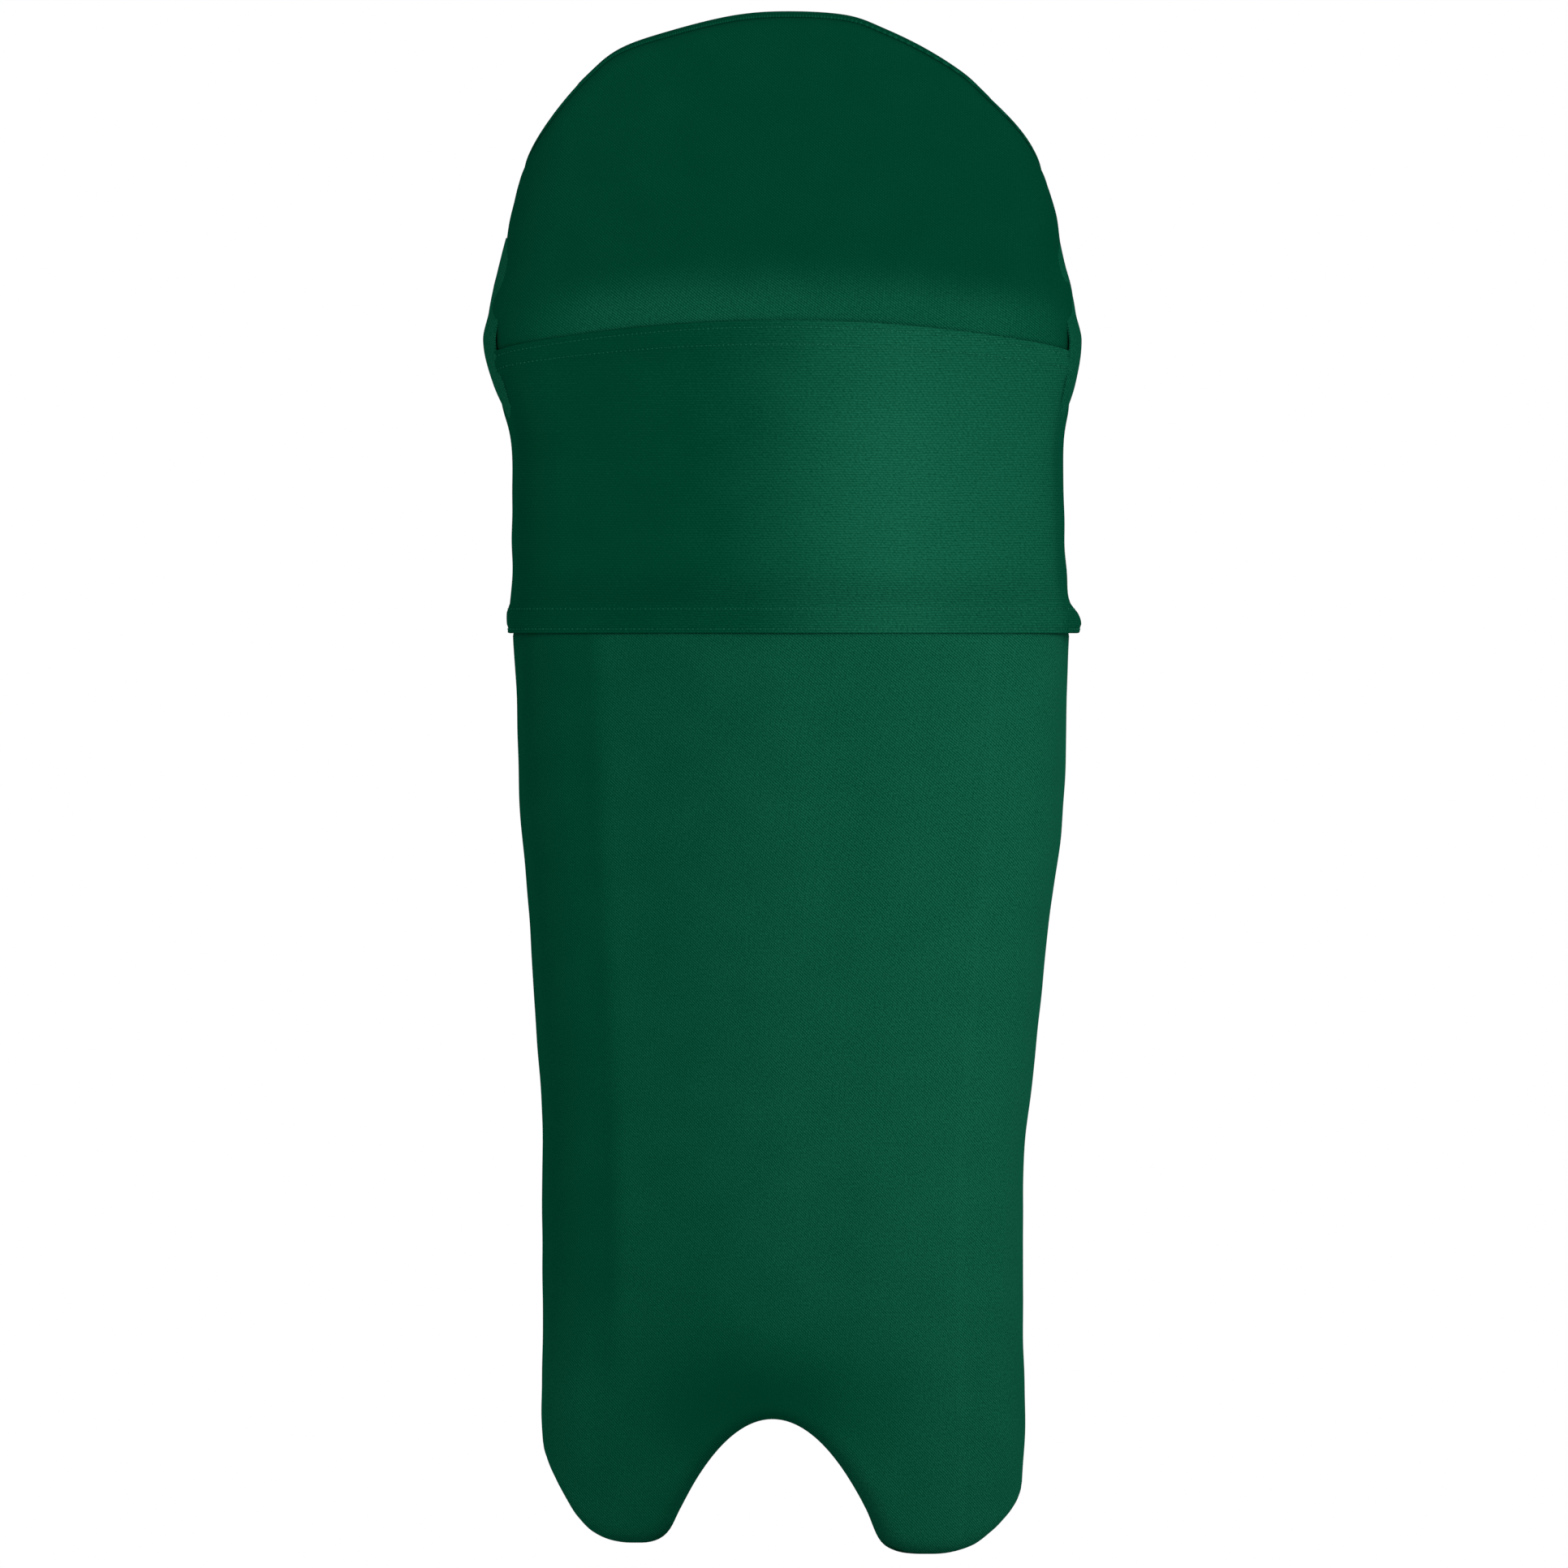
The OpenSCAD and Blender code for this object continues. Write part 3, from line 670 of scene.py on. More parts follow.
def shin_side(side, name):
    """One side of the shin's cover, from the fold to the wing's rear edge and round it."""
    grid, ids, edge_t = wing_grid(SHIN_OUTLINE, side, HINGE_S, SHIN_TOP)
    reach = 1 - ease(np.abs(grid[..., 0]), HINGE_S, HINGE_S + 10 * MM)
    grid[..., 1] = np.minimum(grid[..., 1], KNEE_Z + 1 * MM + 7 * MM * reach)
    return skin(f"shin_cover_{name}", grid, (ids, SHIN_OUTLINE.take(edge_t)[1]), ROUNDING,
                SHIN_OUTLINE.flap(edge_t, FLAP), pad_depth, under_band, seed=2 + side)


def fold_blend(piece, side):
    """Bakes the piece's transform. The fold's slanting line and the way square to it are worked out, but
    nothing bends the piece round them.
    """
    low, high = (at(side * HINGE_S, z) for z in (0.09, 0.42))
    line = (high - low) / np.linalg.norm(high - low)
    across = at(side * (HINGE_S + 6 * MM), 0.25) - at(side * (HINGE_S - 6 * MM), 0.25)
    across -= line * across.dot(line)
    across /= np.linalg.norm(across)
    start, end = (tuple(at(side * HINGE_S, 0.25) + across * far * MM) for far in (0.5, 12))
    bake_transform(piece)


COVER_T = 1.1 * MM
middle = stretch_tone(dressed(thicken(shin_middle(), COVER_T), "shin"), shin_painted_light)
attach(middle, "shin")
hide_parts("shin_cover")
for side, name in SIDES:
    panel = stretch_tone(dressed(thicken(shin_side(side, name), COVER_T), "shin"), shin_painted_light)
    fold_blend(panel, side)
    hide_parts(f"cover_side_{name}")


# ---- The knee band, with a stitched hem along both edges ----

HEM = 11 * MM          # from a hem's edge to its inner row of stitches
BAND_D = -0.5 * MM
# how the band's end turns over the pad's rear edge: distance in from the edge, and depth, in mm
BAND_WRAP = [(6, 0.0), (3.6, 0.35), (1.8, 1.2), (0.5, 2.8), (0, 5), (0, 12), (0, 20), (0.5, 22.4),
             (1.8, 24), (3.6, 24.9), (6, 25.2), (12, 25.2), (18, 25.4), (21, 26.2), (23, 26.4), (24, 25.2)]


def band_bulge(s, z):
    """The hems are double and stand out, and are drawn in along their stitches."""
    top, low = hood_seam(s) + 0.5 * MM - z, z - KNEE_Z
    out = 0
    for e in (top, low):
        out = out + 0.9 * MM * (1 - ease(e, HEM - 0.5 * MM, HEM + 2.5 * MM))
        out = out - 0.4 * MM * (ridge(e, 2.2 * MM, 0.9 * MM) + ridge(e, HEM, 0.9 * MM))
    out = out + 0.25 * MM * waves(s, z, 0.05, 11) + 0.08 * MM * waves(s, z, 0.016, 12)
    ends = ease(np.abs(s), 100 * MM, 130 * MM)
    out = out + ends * 2.6 * MM * np.exp(-((low - 5 * MM) / (8.5 * MM)) ** 2) * np.where(s > 0, 1.35, 0.7)
    out = out - 2 * MM * ease(np.abs(s), 146 * MM, 156 * MM) * ease(z, 0.53, 0.55)
    creases = np.sin(z / (4.3 * MM) + 2 * np.sin(s / (22 * MM))) * np.exp(-(low / (30 * MM)))
    return out + 0.7 * MM * ends * creases


def knee_band():
    half = np.concatenate([np.linspace(0, 88 * MM, 34), np.linspace(90.5 * MM, KNEE_END - 9 * MM, 42)])
    way_s = np.concatenate([half, [KNEE_END - a * MM for a, _ in BAND_WRAP]])
    way_d = np.concatenate([half * 0, [b * MM for _, b in BAND_WRAP]])
    s = np.concatenate([-way_s[:0:-1], way_s])[:, None]
    d = np.concatenate([way_d[:0:-1], way_d])[:, None]
    f = graded((0, 0.11, 16), (0.11, 0.89, 52), (0.89, 1, 16))
    high = hood_seam(s) + 0.5 * MM
    z = KNEE_Z + (high - KNEE_Z) * f
    out = band_bulge(s, z) * (1 - ease(d, 4 * MM, 18 * MM))
    depth = d + BAND_D - out
    # each hem's edge rolls over to its inner side
    roll = [(0.3, 0.25), (0.1, 0.8), (0.35, 1.5), (1.2, 1.9), (5.0, 2.0)]
    low_rows = [(KNEE_Z - 0.5 * MM + a * MM + 0 * s, depth[:, :1] + b * MM) for a, b in roll][::-1]
    top_rows = [(high + 0.5 * MM - a * MM, depth[:, -1:] + b * MM) for a, b in roll]
    z = np.concatenate([r[0] for r in low_rows] + [z] + [r[0] for r in top_rows], 1)
    depth = np.concatenate([r[1] for r in low_rows] + [depth] + [r[1] for r in top_rows], 1)
    run = np.concatenate([[0], np.cumsum(np.hypot(np.diff(s[:, 0]), np.diff(d[:, 0])))])
    run = (run - run[len(run) // 2])[:, None]
    index = np.arange(z.size).reshape(z.shape)
    return mesh_piece("knee_band_cover", at(s, z, depth), grid_faces(index), cloth_of(run, z))


def stitch_row(way, spacing=2.1 * MM, length=1.35 * MM, radius=0.32 * MM):
    """Short thread stitches along a line of points, as parts for joined()."""
    way = np.asarray(way)
    run = np.concatenate([[0], np.cumsum(np.linalg.norm(np.diff(way, axis=0), axis=1))])
    spot = lambda r: np.stack([np.interp(r, run, way[:, i]) for i in range(3)], -1)
    parts = []
    for r in np.arange(spacing, run[-1] - spacing, spacing):
        line = spot(r + np.linspace(-0.5, 0.5, 5) * length)
        parts.append(tube_part(line, radius * np.array([0.35, 0.9, 1, 0.9, 0.35]), 5))
    return parts


def band_line(edge_gap, from_top):
    s = np.linspace(-KNEE_END + 6 * MM, KNEE_END - 6 * MM, 240)
    low_gap = edge_gap * (1 - 0.26 * np.minimum(1, (s / (110 * MM)) ** 2))
    z = hood_seam(s) + 0.5 * MM - low_gap if from_top else KNEE_Z + edge_gap + 0 * s
    return at(s, z, BAND_D - band_bulge(s, z) - 0.1 * MM)


band = stretch_tone(dressed(thicken(knee_band(), 0.9 * MM), "band"), band_painted_light)
band_stitches = [joined(f"band_stitches_{n}", stitch_row(band_line(r, t)) + stitch_row(band_line(HEM, t)))
                 for n, t, r in (("top", True, 3 * MM), ("bottom", False, 1.6 * MM))]
for o in [band] + band_stitches:
    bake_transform(o)
for o in band_stitches:
    # the stitches take the band's painted light and shade, lifted
    stretch_tone(dressed(o, "thread"), lambda s, z: 0.25 + 0.9 * band_painted_light(s, z))
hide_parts("knee_band")


# ---- The hood: a bag over the top hat ----

HOOD_ROUND = 9 * MM
HOOD_HEM_Z = 592 * MM
HOOD_EDGE = [(150, 548), (150, 575), (150, 598), (145, 622), (131, 643), (115, 658), (94, 679), (83, 691),
             (67, 702), (48, 711.5), (30, 718), (3, 719.8), (-22, 718), (-51, 711), (-75, 702.5),
             (-89, 690.5), (-107, 668),
             (-117, 657), (-132, 643), (-145, 622), (-150, 598), (-150, 575), (-150, 548)]
HOOD_OUTLINE = Outline(HOOD_EDGE, HOOD_ROUND)


def hood_relief(s, z):
    soft = 0.5 * MM * waves(s, z, 0.08, 21) + 0.12 * MM * waves(s, z, 0.02, 22)
    pulled = 0.5 * MM * np.sin((z - np.abs(s) * 0.35) / (6.5 * MM)) * ease(np.abs(s), 95 * MM, 130 * MM)
    return soft + pulled * (1 - ease(z, 0.60, 0.66))


def under_hem(s, z):
    return 1.5 * MM * (1 - ease(z, hood_seam(s) - 2 * MM, hood_seam(s) + 1.5 * MM))


def hat_grid(outline, low_z, columns=200):
    """(s, z) places over the top hat, left to right, from low_z(s) up to the outline's set-in edge."""
    t = np.linspace(0, outline.at_t[-1], columns)[::-1]
    top, normals = outline.take(t)
    f = graded((0, 0.2, 14), (0.2, 0.97, 44), (0.97, 1, 4))
    low_s = np.linspace(top[0, 0], top[-1, 0], len(t))
    low = np.stack([low_s, low_z(low_s)], -1)
    low[:, 1] = np.minimum(low[:, 1], top[:, 1] - 1e-5)
    low[0], low[-1] = top[0], top[-1]
    return low[:, None] + (top - low)[:, None] * f[None, :, None], top, normals


def hood_grid():
    """The hood's front grid, its rim and normals, and where its back ends, in a hem above the knee."""
    grid, top, normals = hat_grid(HOOD_OUTLINE, lambda s: hood_seam(s) - 14 * MM)
    spread = np.linspace(0, 1, len(top))
    ids = [(i, grid.shape[1] - 1) for i in range(len(top))]
    hem = HOOD_HEM_Z + 6 * MM * np.cos(spread * 2 * math.pi)
    target = np.stack([top[:, 0] * 0.9, np.minimum(top[:, 1], hem)], -1)
    return grid, ids[::-1], normals[::-1], target[::-1]


grid, ids, normals, target = hood_grid()
bag = skin("hood", grid, (ids, normals), HOOD_ROUND, HOOD_ROUND + 2 * MM, lambda s: 0 * s + HAT_DEPTH,
           under_hem, gather=0.0, relief=hood_relief, back=target)
bag = stretch_tone(dressed(thicken(bag, 1.0 * MM), "hood"), hood_painted_light)
walk = np.linspace(6, HOOD_OUTLINE.at_t[-1] - 6, 420)
inset, outward = HOOD_OUTLINE.take(walk)
seam_line = inset + outward * (HOOD_ROUND - 2.2 * MM)
hood_welt = joined("hood_seam", [tube_part(at(seam_line[:, 0], seam_line[:, 1], 2.3 * MM), 0.7 * MM, 6)])
dressed(hood_welt, "hood")
stretch_tone(hood_welt, lambda s, z: 0 * s + 0.1)
for o in (bag, hood_welt):
    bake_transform(o)
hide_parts("hood_front", "hood_back")


# ---- Padded layers under and behind the cover ----

def layer(name, grid, d_front, d_back, edge, relief=None):
    """A closed padded layer over a grid of (s, z), from depth d_front to d_back, with rounded edges.

    relief raises its leg side."""
    s, z = grid[..., 0], grid[..., 1]
    across = np.linalg.norm(np.diff(grid, axis=0), axis=-1)
    up = np.linalg.norm(np.diff(grid, axis=1), axis=-1)
    run = np.concatenate([0 * across[:1], np.cumsum(across, 0)])
    rise = np.concatenate([0 * up[:, :1], np.cumsum(up, 1)], 1)
    gap = np.minimum(np.minimum(run, run[-1:] - run), np.minimum(rise, rise[:, -1:] - rise))
    crown = np.sqrt(1 - (1 - np.clip(gap / edge, 0, 1)) ** 2)
    crown[0], crown[-1], crown[:, 0], crown[:, -1] = 0, 0, 0, 0
    d_front, d_back = np.broadcast_to(d_front, s.shape), np.broadcast_to(d_back, s.shape)
    middle, half = (d_front + d_back) / 2, (d_back - d_front) / 2
    front, back = middle - half * crown, middle + half * crown
    if relief is not None:
        back = back + relief(s, z) * crown
    index = np.arange(s.size).reshape(s.shape)
    inner = np.full(s.shape, -1)
    inner[1:-1, 1:-1] = s.size + np.arange((s.shape[0] - 2) * (s.shape[1] - 2)).reshape(s.shape[0] - 2, -1)
    other = np.where(inner < 0, index, inner)
    places = np.concatenate([np.stack([s, z, front], -1).reshape(-1, 3),
                             np.stack([s, z, back], -1)[1:-1, 1:-1].reshape(-1, 3)])
    faces = grid_faces(index) + grid_faces(other, flip=True)
    return mesh_piece(name, at(places[:, 0], places[:, 1], places[:, 2]), faces, places)


def box_grid(s0, s1, low, high, step=2.6 * MM, edge=1.2 * MM):
    """(s, z) places between two sides and two heights, which may be functions of s, closer at the edges."""
    def spaced(a, b):
        n = max(4, int(abs(b - a) / step))
        f = np.linspace(0, 1, n)
        e = edge / max(abs(b - a), 1e-6)
        return np.unique(np.concatenate([f, [e * 0.25, e * 0.6, e, 1 - e, 1 - e * 0.6, 1 - e * 0.25]]))
    s = s0 + (s1 - s0) * spaced(s0, s1)
    low = low(s) if callable(low) else np.full(len(s), low)
    high = high(s) if callable(high) else np.full(len(s), high)
    f = spaced(np.min(low), np.max(high))
    z = low[:, None] + (high - low)[:, None] * f
    return np.stack([np.broadcast_to(s[:, None], z.shape), z], -1)


def quilting(lines_s=(), lines_z=(), puff=1.7 * MM, dent=1.6 * MM, width=1.7 * MM, span=30 * MM):
    """Relief of padding sewn down along lines at the given places round and heights."""
    def relief(s, z):
        near = np.full(s.shape, 1.0)
        groove = np.zeros(s.shape)
        for value, lines in ((s, lines_s), (z, lines_z)):
            for line in lines:
                gap = np.abs(value - line)
                near = np.minimum(near, gap)
                groove = np.maximum(groove, np.exp(-(gap / width) ** 2))
        swell = 1 - np.exp(-near / (span * 0.22))
        return puff * swell - dent * groove + 0.15 * MM * waves(s, z, 0.03, 31)
    return relief


def seam_stitches(name, lines, depth, spacing=3.4 * MM):
    """Stitches along lines of (s, z) points on a surface at the depth given for them."""
    parts = []
    for line in lines:
        s, z = np.asarray(line).T
        parts += stitch_row(at(s, z, depth(s, z)), spacing, 2.3 * MM, 0.28 * MM)
    return joined(name, parts)


INNER = Outline(SHIN_EDGE, 3 * MM)
FINE_RISE = graded((0, 0.02, 8), (0.02, 0.98, 110), (0.98, 1, 6))
LAYER_TOP = KNEE_Z - 2 * MM

for name, half, d0, d1, look in (("shin_facing", 100, 3.3, 4.3, "facing"),
                                 ("shin_front_foam", 100, 4.6, 13.3, "foam"),
                                 ("shin_back_foam", 91, 22.8, 36, "foam")):
    grid = middle_grid(INNER, half * MM, LAYER_TOP, FINE_RISE, 80)[0]
    o = dressed(layer(name + "_shaped", grid, d0 * MM, d1 * MM, 3 * MM), look)
    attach(o, "shin")
    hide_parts(name)

for side, wing in ((-1, "wing_left"), (1, "wing_right")):
    for look, d0, d1 in (("facing", 3.3, 4.3), ("foam", 4.6, 21)):
        grid = wing_grid(INNER, side, 110 * MM, LAYER_TOP, FINE_RISE, 30)[0]
        node = wing.replace("wing", "wing_" + look)
        o = dressed(layer(node + "_shaped", grid, d0 * MM, d1 * MM, 3 * MM), look)
        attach(o, wing)
        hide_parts(node)

# the shin's lining, quilted into channels
CHANNELS = np.arange(0.104, 0.42, 0.036)
SHIN_LINES = (-84 * MM, -38 * MM, 38 * MM, 84 * MM)
shin_quilt = quilting(SHIN_LINES, CHANNELS)
LINING_EDGE = Outline(SHIN_EDGE, 12 * MM)
grid = middle_grid(LINING_EDGE, 92 * MM, LAYER_TOP, FINE_RISE, 100)[0]
shin_lining = layer("shin_lining_quilted", grid, 36.3 * MM, 38.2 * MM, 2 * MM, shin_quilt)
dressed(shin_lining, "padding")
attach(shin_lining, "shin")
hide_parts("shin_lining")
on_quilt = lambda s, z: 38.4 * MM + shin_quilt(s, z)
lines = [[(s, z) for s in np.linspace(-36 * MM, 36 * MM, 40)] for z in CHANNELS]
lines += [[(s, z) for z in np.linspace(0.10 if abs(s) < 50 * MM else 0.06, 0.424, 180)] for s in SHIN_LINES]
stitches = dressed(seam_stitches("shin_lining_stitches", lines, on_quilt), "white_thread")
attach(stitches, "shin")

# the lining goes on round the sides of the shin's padding, and each wing's padding has a lining of its own
WING_SEAMS = (112, 138, 164)
WALL_S, WALL_D = np.array([91.8, 95, 101, 103.5]) * MM, np.array([37, 15.8, 14.6, 5.5]) * MM
WING_WALL_S, WING_WALL_D = np.array([104.5, 107, 110]) * MM, np.array([5.5, 20, 23]) * MM
wing_quilt = quilting([s * side * MM for s in WING_SEAMS for side in (-1, 1)], (), 0.7 * MM, 1.1 * MM)
for side, wing in ((-1, "wing_left"), (1, "wing_right")):
    ends = sorted((side * WALL_S[0], side * WALL_S[-1]))
    grid = box_grid(*ends, 40 * MM, LAYER_TOP, 0.8 * MM)
    back = np.interp(np.abs(grid[..., 0]), WALL_S, WALL_D)
    o = layer(wing.replace("wing", "shin_lining_wall"), grid, back - 1.3 * MM, back, 0.8 * MM)
    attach(dressed(o, "padding"), "shin")
    grid = wing_grid(LINING_EDGE, side, WING_WALL_S[0], LAYER_TOP, FINE_RISE, 70)[0]
    back = np.interp(np.abs(grid[..., 0]), WING_WALL_S, WING_WALL_D)
    node = wing.replace("wing", "wing_lining")
    o = layer(node + "_quilted", grid, back - 1.5 * MM, back, 1.5 * MM, wing_quilt)
    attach(dressed(o, "padding"), wing)
    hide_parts(node)
    lines = [[(side * s * MM, z) for z in np.linspace(0.125, 0.424, 140)] for s in WING_SEAMS]
    sewn = dressed(seam_stitches(f"{wing}_stitches", lines, lambda s, z: 23.15 * MM + wing_quilt(s, z)),
                   "white_thread")
    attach(sewn, wing)


# ---- Behind the knee ----

KNEE_LINES_Z = (0.478, 0.523)
knee_quilt = quilting(SHIN_LINES, KNEE_LINES_Z)


def knee_relief(s, z):
    """Quilted, with a slack fold across the flexing line."""
    return knee_quilt(s, z) - 2.2 * MM * ridge(z, 0.4385, 5 * MM)


grid = box_grid(-93 * MM, 93 * MM, KNEE_Z - 1.6 * MM, HAT_HINGE_Z - 2 * MM)
knee_lining = layer("knee_lining_quilted", grid, 36.3 * MM, 38.2 * MM, 2 * MM, knee_relief)
lines = [[(s, z) for s in np.linspace(-36 * MM, 36 * MM, 40)] for z in KNEE_LINES_Z]
lines += [[(s, z) for z in np.linspace(0.448, 0.564, 60)] for s in SHIN_LINES]
knee_sewn = seam_stitches("knee_lining_stitches", lines, lambda s, z: 38.4 * MM + knee_relief(s, z))
for o, look in ((knee_lining, "padding"), (knee_sewn, "white_thread")):
    dressed(o, look)
    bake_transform(o)
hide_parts("knee_lining")


def rising(low, slope, s, d):
    """A low edge that rises towards the leg, so that it stays clear as its body folds."""
    y, t = section(np.abs(s))[1:]
    return low + slope * (y + d * np.cos(t))


for name, s0, s1, d0, d1 in (("knee_backing", -91, 91, 26.9, 36), ("knee_side_left", -178, -110, 6.2, 22),
                             ("knee_side_right", 110, 178, 6.2, 22)):
    grid = box_grid(s0 * MM, s1 * MM, lambda s: rising(KNEE_HINGE_Z + 1 * MM, 0.24, s, d1 * MM),
                    HAT_HINGE_Z - 2 * MM, 4 * MM, 3 * MM)
    o = dressed(layer(name + "_shaped", grid, d0 * MM, d1 * MM, 3 * MM), "padding")
    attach(o, "knee")
    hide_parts(name)
for side, name in SIDES:
    ends = sorted((side * 92.3 * MM, side * 176 * MM))
    grid = box_grid(*ends, KNEE_Z + 3 * MM, HAT_HINGE_Z - 4 * MM)
    back = 23.9 * MM + 12.8 * MM * (1 - ease(np.abs(grid[..., 0]), 92 * MM, 95 * MM))
    side_quilt = quilting([side * s * MM for s in (112, 140)], (), puff=0.7 * MM, dent=1.1 * MM)
    o = layer(f"knee_side_lining_{name}", grid, back - 1.3 * MM, back, 1.5 * MM, side_quilt)
    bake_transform(dressed(o, "padding"))


# ---- Inside the hood ----

for name, inset, d0, d1 in (("top_hat_front_foam", 4, 3.4, 9), ("top_hat_back_foam", 5, 15.2, 20.4)):
    grid = hat_grid(Outline(HOOD_EDGE, inset * MM),
                    lambda s: rising(HAT_HINGE_Z + 6 * MM, 0.36, s, d1 * MM), 120)[0]
    o = dressed(layer(name + "_shaped", grid, d0 * MM, d1 * MM, 2.5 * MM), "foam")
    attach(o, "top_hat")
    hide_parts(name)
hat_quilt = quilting((-60 * MM, 0, 60 * MM), (0.60,), puff=0.4 * MM, dent=0.5 * MM)
grid = box_grid(-128 * MM, 128 * MM, HAT_HINGE_Z - 3 * MM,
                lambda s: 0.634 - 0.5 * np.maximum(np.abs(s) - 0.11, 0))
hat_lining = layer("top_hat_lining_quilted", grid, 21.2 * MM, 22.4 * MM, 1.5 * MM, hat_quilt)
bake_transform(dressed(hat_lining, "padding"))
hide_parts("top_hat_lining")


# ---- Ends of the cover over the padding's top edges, and the strips down its side seams ----

def fabric_cap(name, side, s0, s1, low, high):
    """The cover's closed end over the top of the padding between s0 and s1, in mm."""
    ends = sorted((side * s0 * MM, side * s1 * MM))
    grid = box_grid(*ends, low, high, 2.2 * MM, 3 * MM)
    o = layer(name, grid, 2.2 * MM, 24.6 * MM, 3 * MM, lambda s, z: 0.25 * MM * waves(s, z, 0.02, 41))
    return stretch_tone(dressed(o, "band"), lambda s, z: 0 * s + 0.12)


for side, name in SIDES:
    knee_cap = fabric_cap(f"knee_side_top_{name}", side, 108, 179.5, 0.548, HAT_HINGE_Z - 0.6 * MM)
    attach(knee_cap, "knee")
    wing_cap = fabric_cap(f"wing_top_{name}", side, 110, 193, 0.408, KNEE_Z - 0.4 * MM)
    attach(wing_cap, f"wing_{name}")

    # strip of the cover's back panel that shows past the side seam, from the hood down over the band
    z = np.linspace(0.523, 0.614, 80)
    along = (z - z[0]) / (z[-1] - z[0])
    wide = np.sin(math.pi * along.clip(0, 1)) ** 0.5
    steps = np.linspace(0, 1, 14)
    start, end = 114.5 * MM, 148 * MM
    s = side * (start + (end - start) * steps[:, None] + 5 * MM * (1 - wide) * (1 - steps[:, None]))
    lift = (1.3 * wide[None] * np.sin(math.pi * np.clip(steps, 0.02, 1)[:, None]) ** 0.45 - 0.5) * MM
    lift = lift + 1.6 * MM * (1 - ease(z, 0.566, 0.580))[None] * ease(along, 0, 0.25)[None]
    grid = np.stack([np.broadcast_to(s, lift.shape), np.broadcast_to(z, lift.shape)], -1)
    if side < 0:
        grid, lift = grid[::-1], lift[::-1]
    index = np.arange(lift.size).reshape(lift.shape)
    strip = mesh_piece(f"side_strip_{name}", at(grid[..., 0], grid[..., 1], -lift), grid_faces(index),
                       np.stack([grid[..., 0], grid[..., 1], lift], -1))
    stretch_tone(dressed(thicken(strip, 0.9 * MM), "hood"), lambda s, z: 0 * s + 0.3)
    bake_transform(strip)


# ---- Stuffed bolsters and strap pads, filled by a cloth simulation ----

def stuffed(o, voxel=4.5 * MM, pressure=4.0, cap=2.5 * MM):
    """Blows the piece up from inside until its cover is tight, moving no point further than cap."""
    remesh = o.modifiers.new("remesh", "REMESH")
    remesh.mode, remesh.voxel_size = "VOXEL", voxel
    settle(o)
    start = np.array([v.co for v in o.data.vertices])
    cloth = o.modifiers.new("cloth", "CLOTH")
    cloth.settings.quality = 5
    cloth.settings.mass = 0.3
    cloth.settings.use_pressure = True
    cloth.settings.uniform_pressure_force = pressure
    cloth.settings.tension_stiffness = cloth.settings.compression_stiffness = 12
    cloth.settings.bending_stiffness = 0.3
    cloth.settings.effector_weights.gravity = 0
    cloth.collision_settings.use_collision = False
    cloth.point_cache.frame_start, cloth.point_cache.frame_end = 1, 20
    for frame_number in range(1, 21):
        bpy.context.scene.frame_set(frame_number)
    settle(o)
    bpy.context.scene.frame_set(1)
    now = np.array([v.co for v in o.data.vertices])
    move = now - start
    far = np.linalg.norm(move, axis=1, keepdims=True)
    now = start + move * np.minimum(1, cap / np.maximum(far, 1e-9))
    o.data.vertices.foreach_set("co", now.astype(np.float32).reshape(-1))
    smooth = o.modifiers.new("even", "SMOOTH")
    smooth.factor, smooth.iterations = 0.5, 4
    finer = o.modifiers.new("finer", "SUBSURF")
    finer.levels = finer.render_levels = 1
    settle(o)
    o.data.shade_smooth()
    return o


def bolster(name, side, s_mid, z0, z1, half_s):
    """A sewn sausage of padding standing up the lining, tapering to its ends."""
    t = np.sin(np.linspace(-math.pi / 2, math.pi / 2, 60)) / 2 + 0.5
    taper = np.sqrt(np.maximum(0.02, 1 - np.abs(2 * t - 1) ** 7))
    a = np.linspace(0, 2 * math.pi, 28, endpoint=False)
    s = side * s_mid + (taper[:, None] * half_s * np.cos(a)) * side
    d = BOLSTER_D + taper[:, None] * BOLSTER_HALF_D * np.sin(a)
    z = np.broadcast_to((z0 + (z1 - z0) * t)[:, None], s.shape)
    index = ring_index(s.shape)
    faces = grid_faces(index, flip=side > 0)
    faces += [index[0, :-1].tolist()[::side], index[-1, :-1].tolist()[::-side]]
    return stuffed(mesh_piece(name, at(s, z, d), faces))


def cloth_from_place(o):
    """Lays the cloth's pattern on by place, for a piece that has been remeshed."""
    co = np.array([v.co for v in o.data.vertices])
    turn = np.arctan2(co[:, 0], -co[:, 1] + 0.01)
    attribute = o.data.attributes.get("cloth") or o.data.attributes.new("cloth", "FLOAT_VECTOR", "POINT")
    laid = np.stack([turn * np.linalg.norm(co[:, :2], axis=1), co[:, 2], 0 * turn], -1)
    attribute.data.foreach_set("vector", laid.astype(np.float32).reshape(-1))
    return o


BOLSTER_D, BOLSTER_HALF_D = 44 * MM, 4.9 * MM
for node, body, s_mid, z0, z1, half_s in (("shin_bolster", "shin", 56, 88, 400, 15.5),
                                          ("knee_bolster", "knee", 60, 462, 556, 13.5)):
    for side, name in SIDES:
        o = bolster(f"{node}_{name}_stuffed", side, s_mid * MM, z0 * MM, z1 * MM, half_s * MM)
        dressed(cloth_from_place(o), "padding")
        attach(o, body)
        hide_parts(f"{node}_{name}")
        s0 = side * s_mid * MM
        edge = []
        for k in (-1, 1):
            edge.append([(s0 + k * (half_s + 2.2) * MM, z) for z in np.linspace(z0 + 12, z1 - 12, 120) * MM])
        quilt = shin_quilt if body == "shin" else knee_relief
        sewn = seam_stitches(f"{node}_{name}_stitches", edge, lambda s, z: 38.4 * MM + quilt(s, z))
        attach(dressed(sewn, "white_thread"), body)


# ---- Straps ----

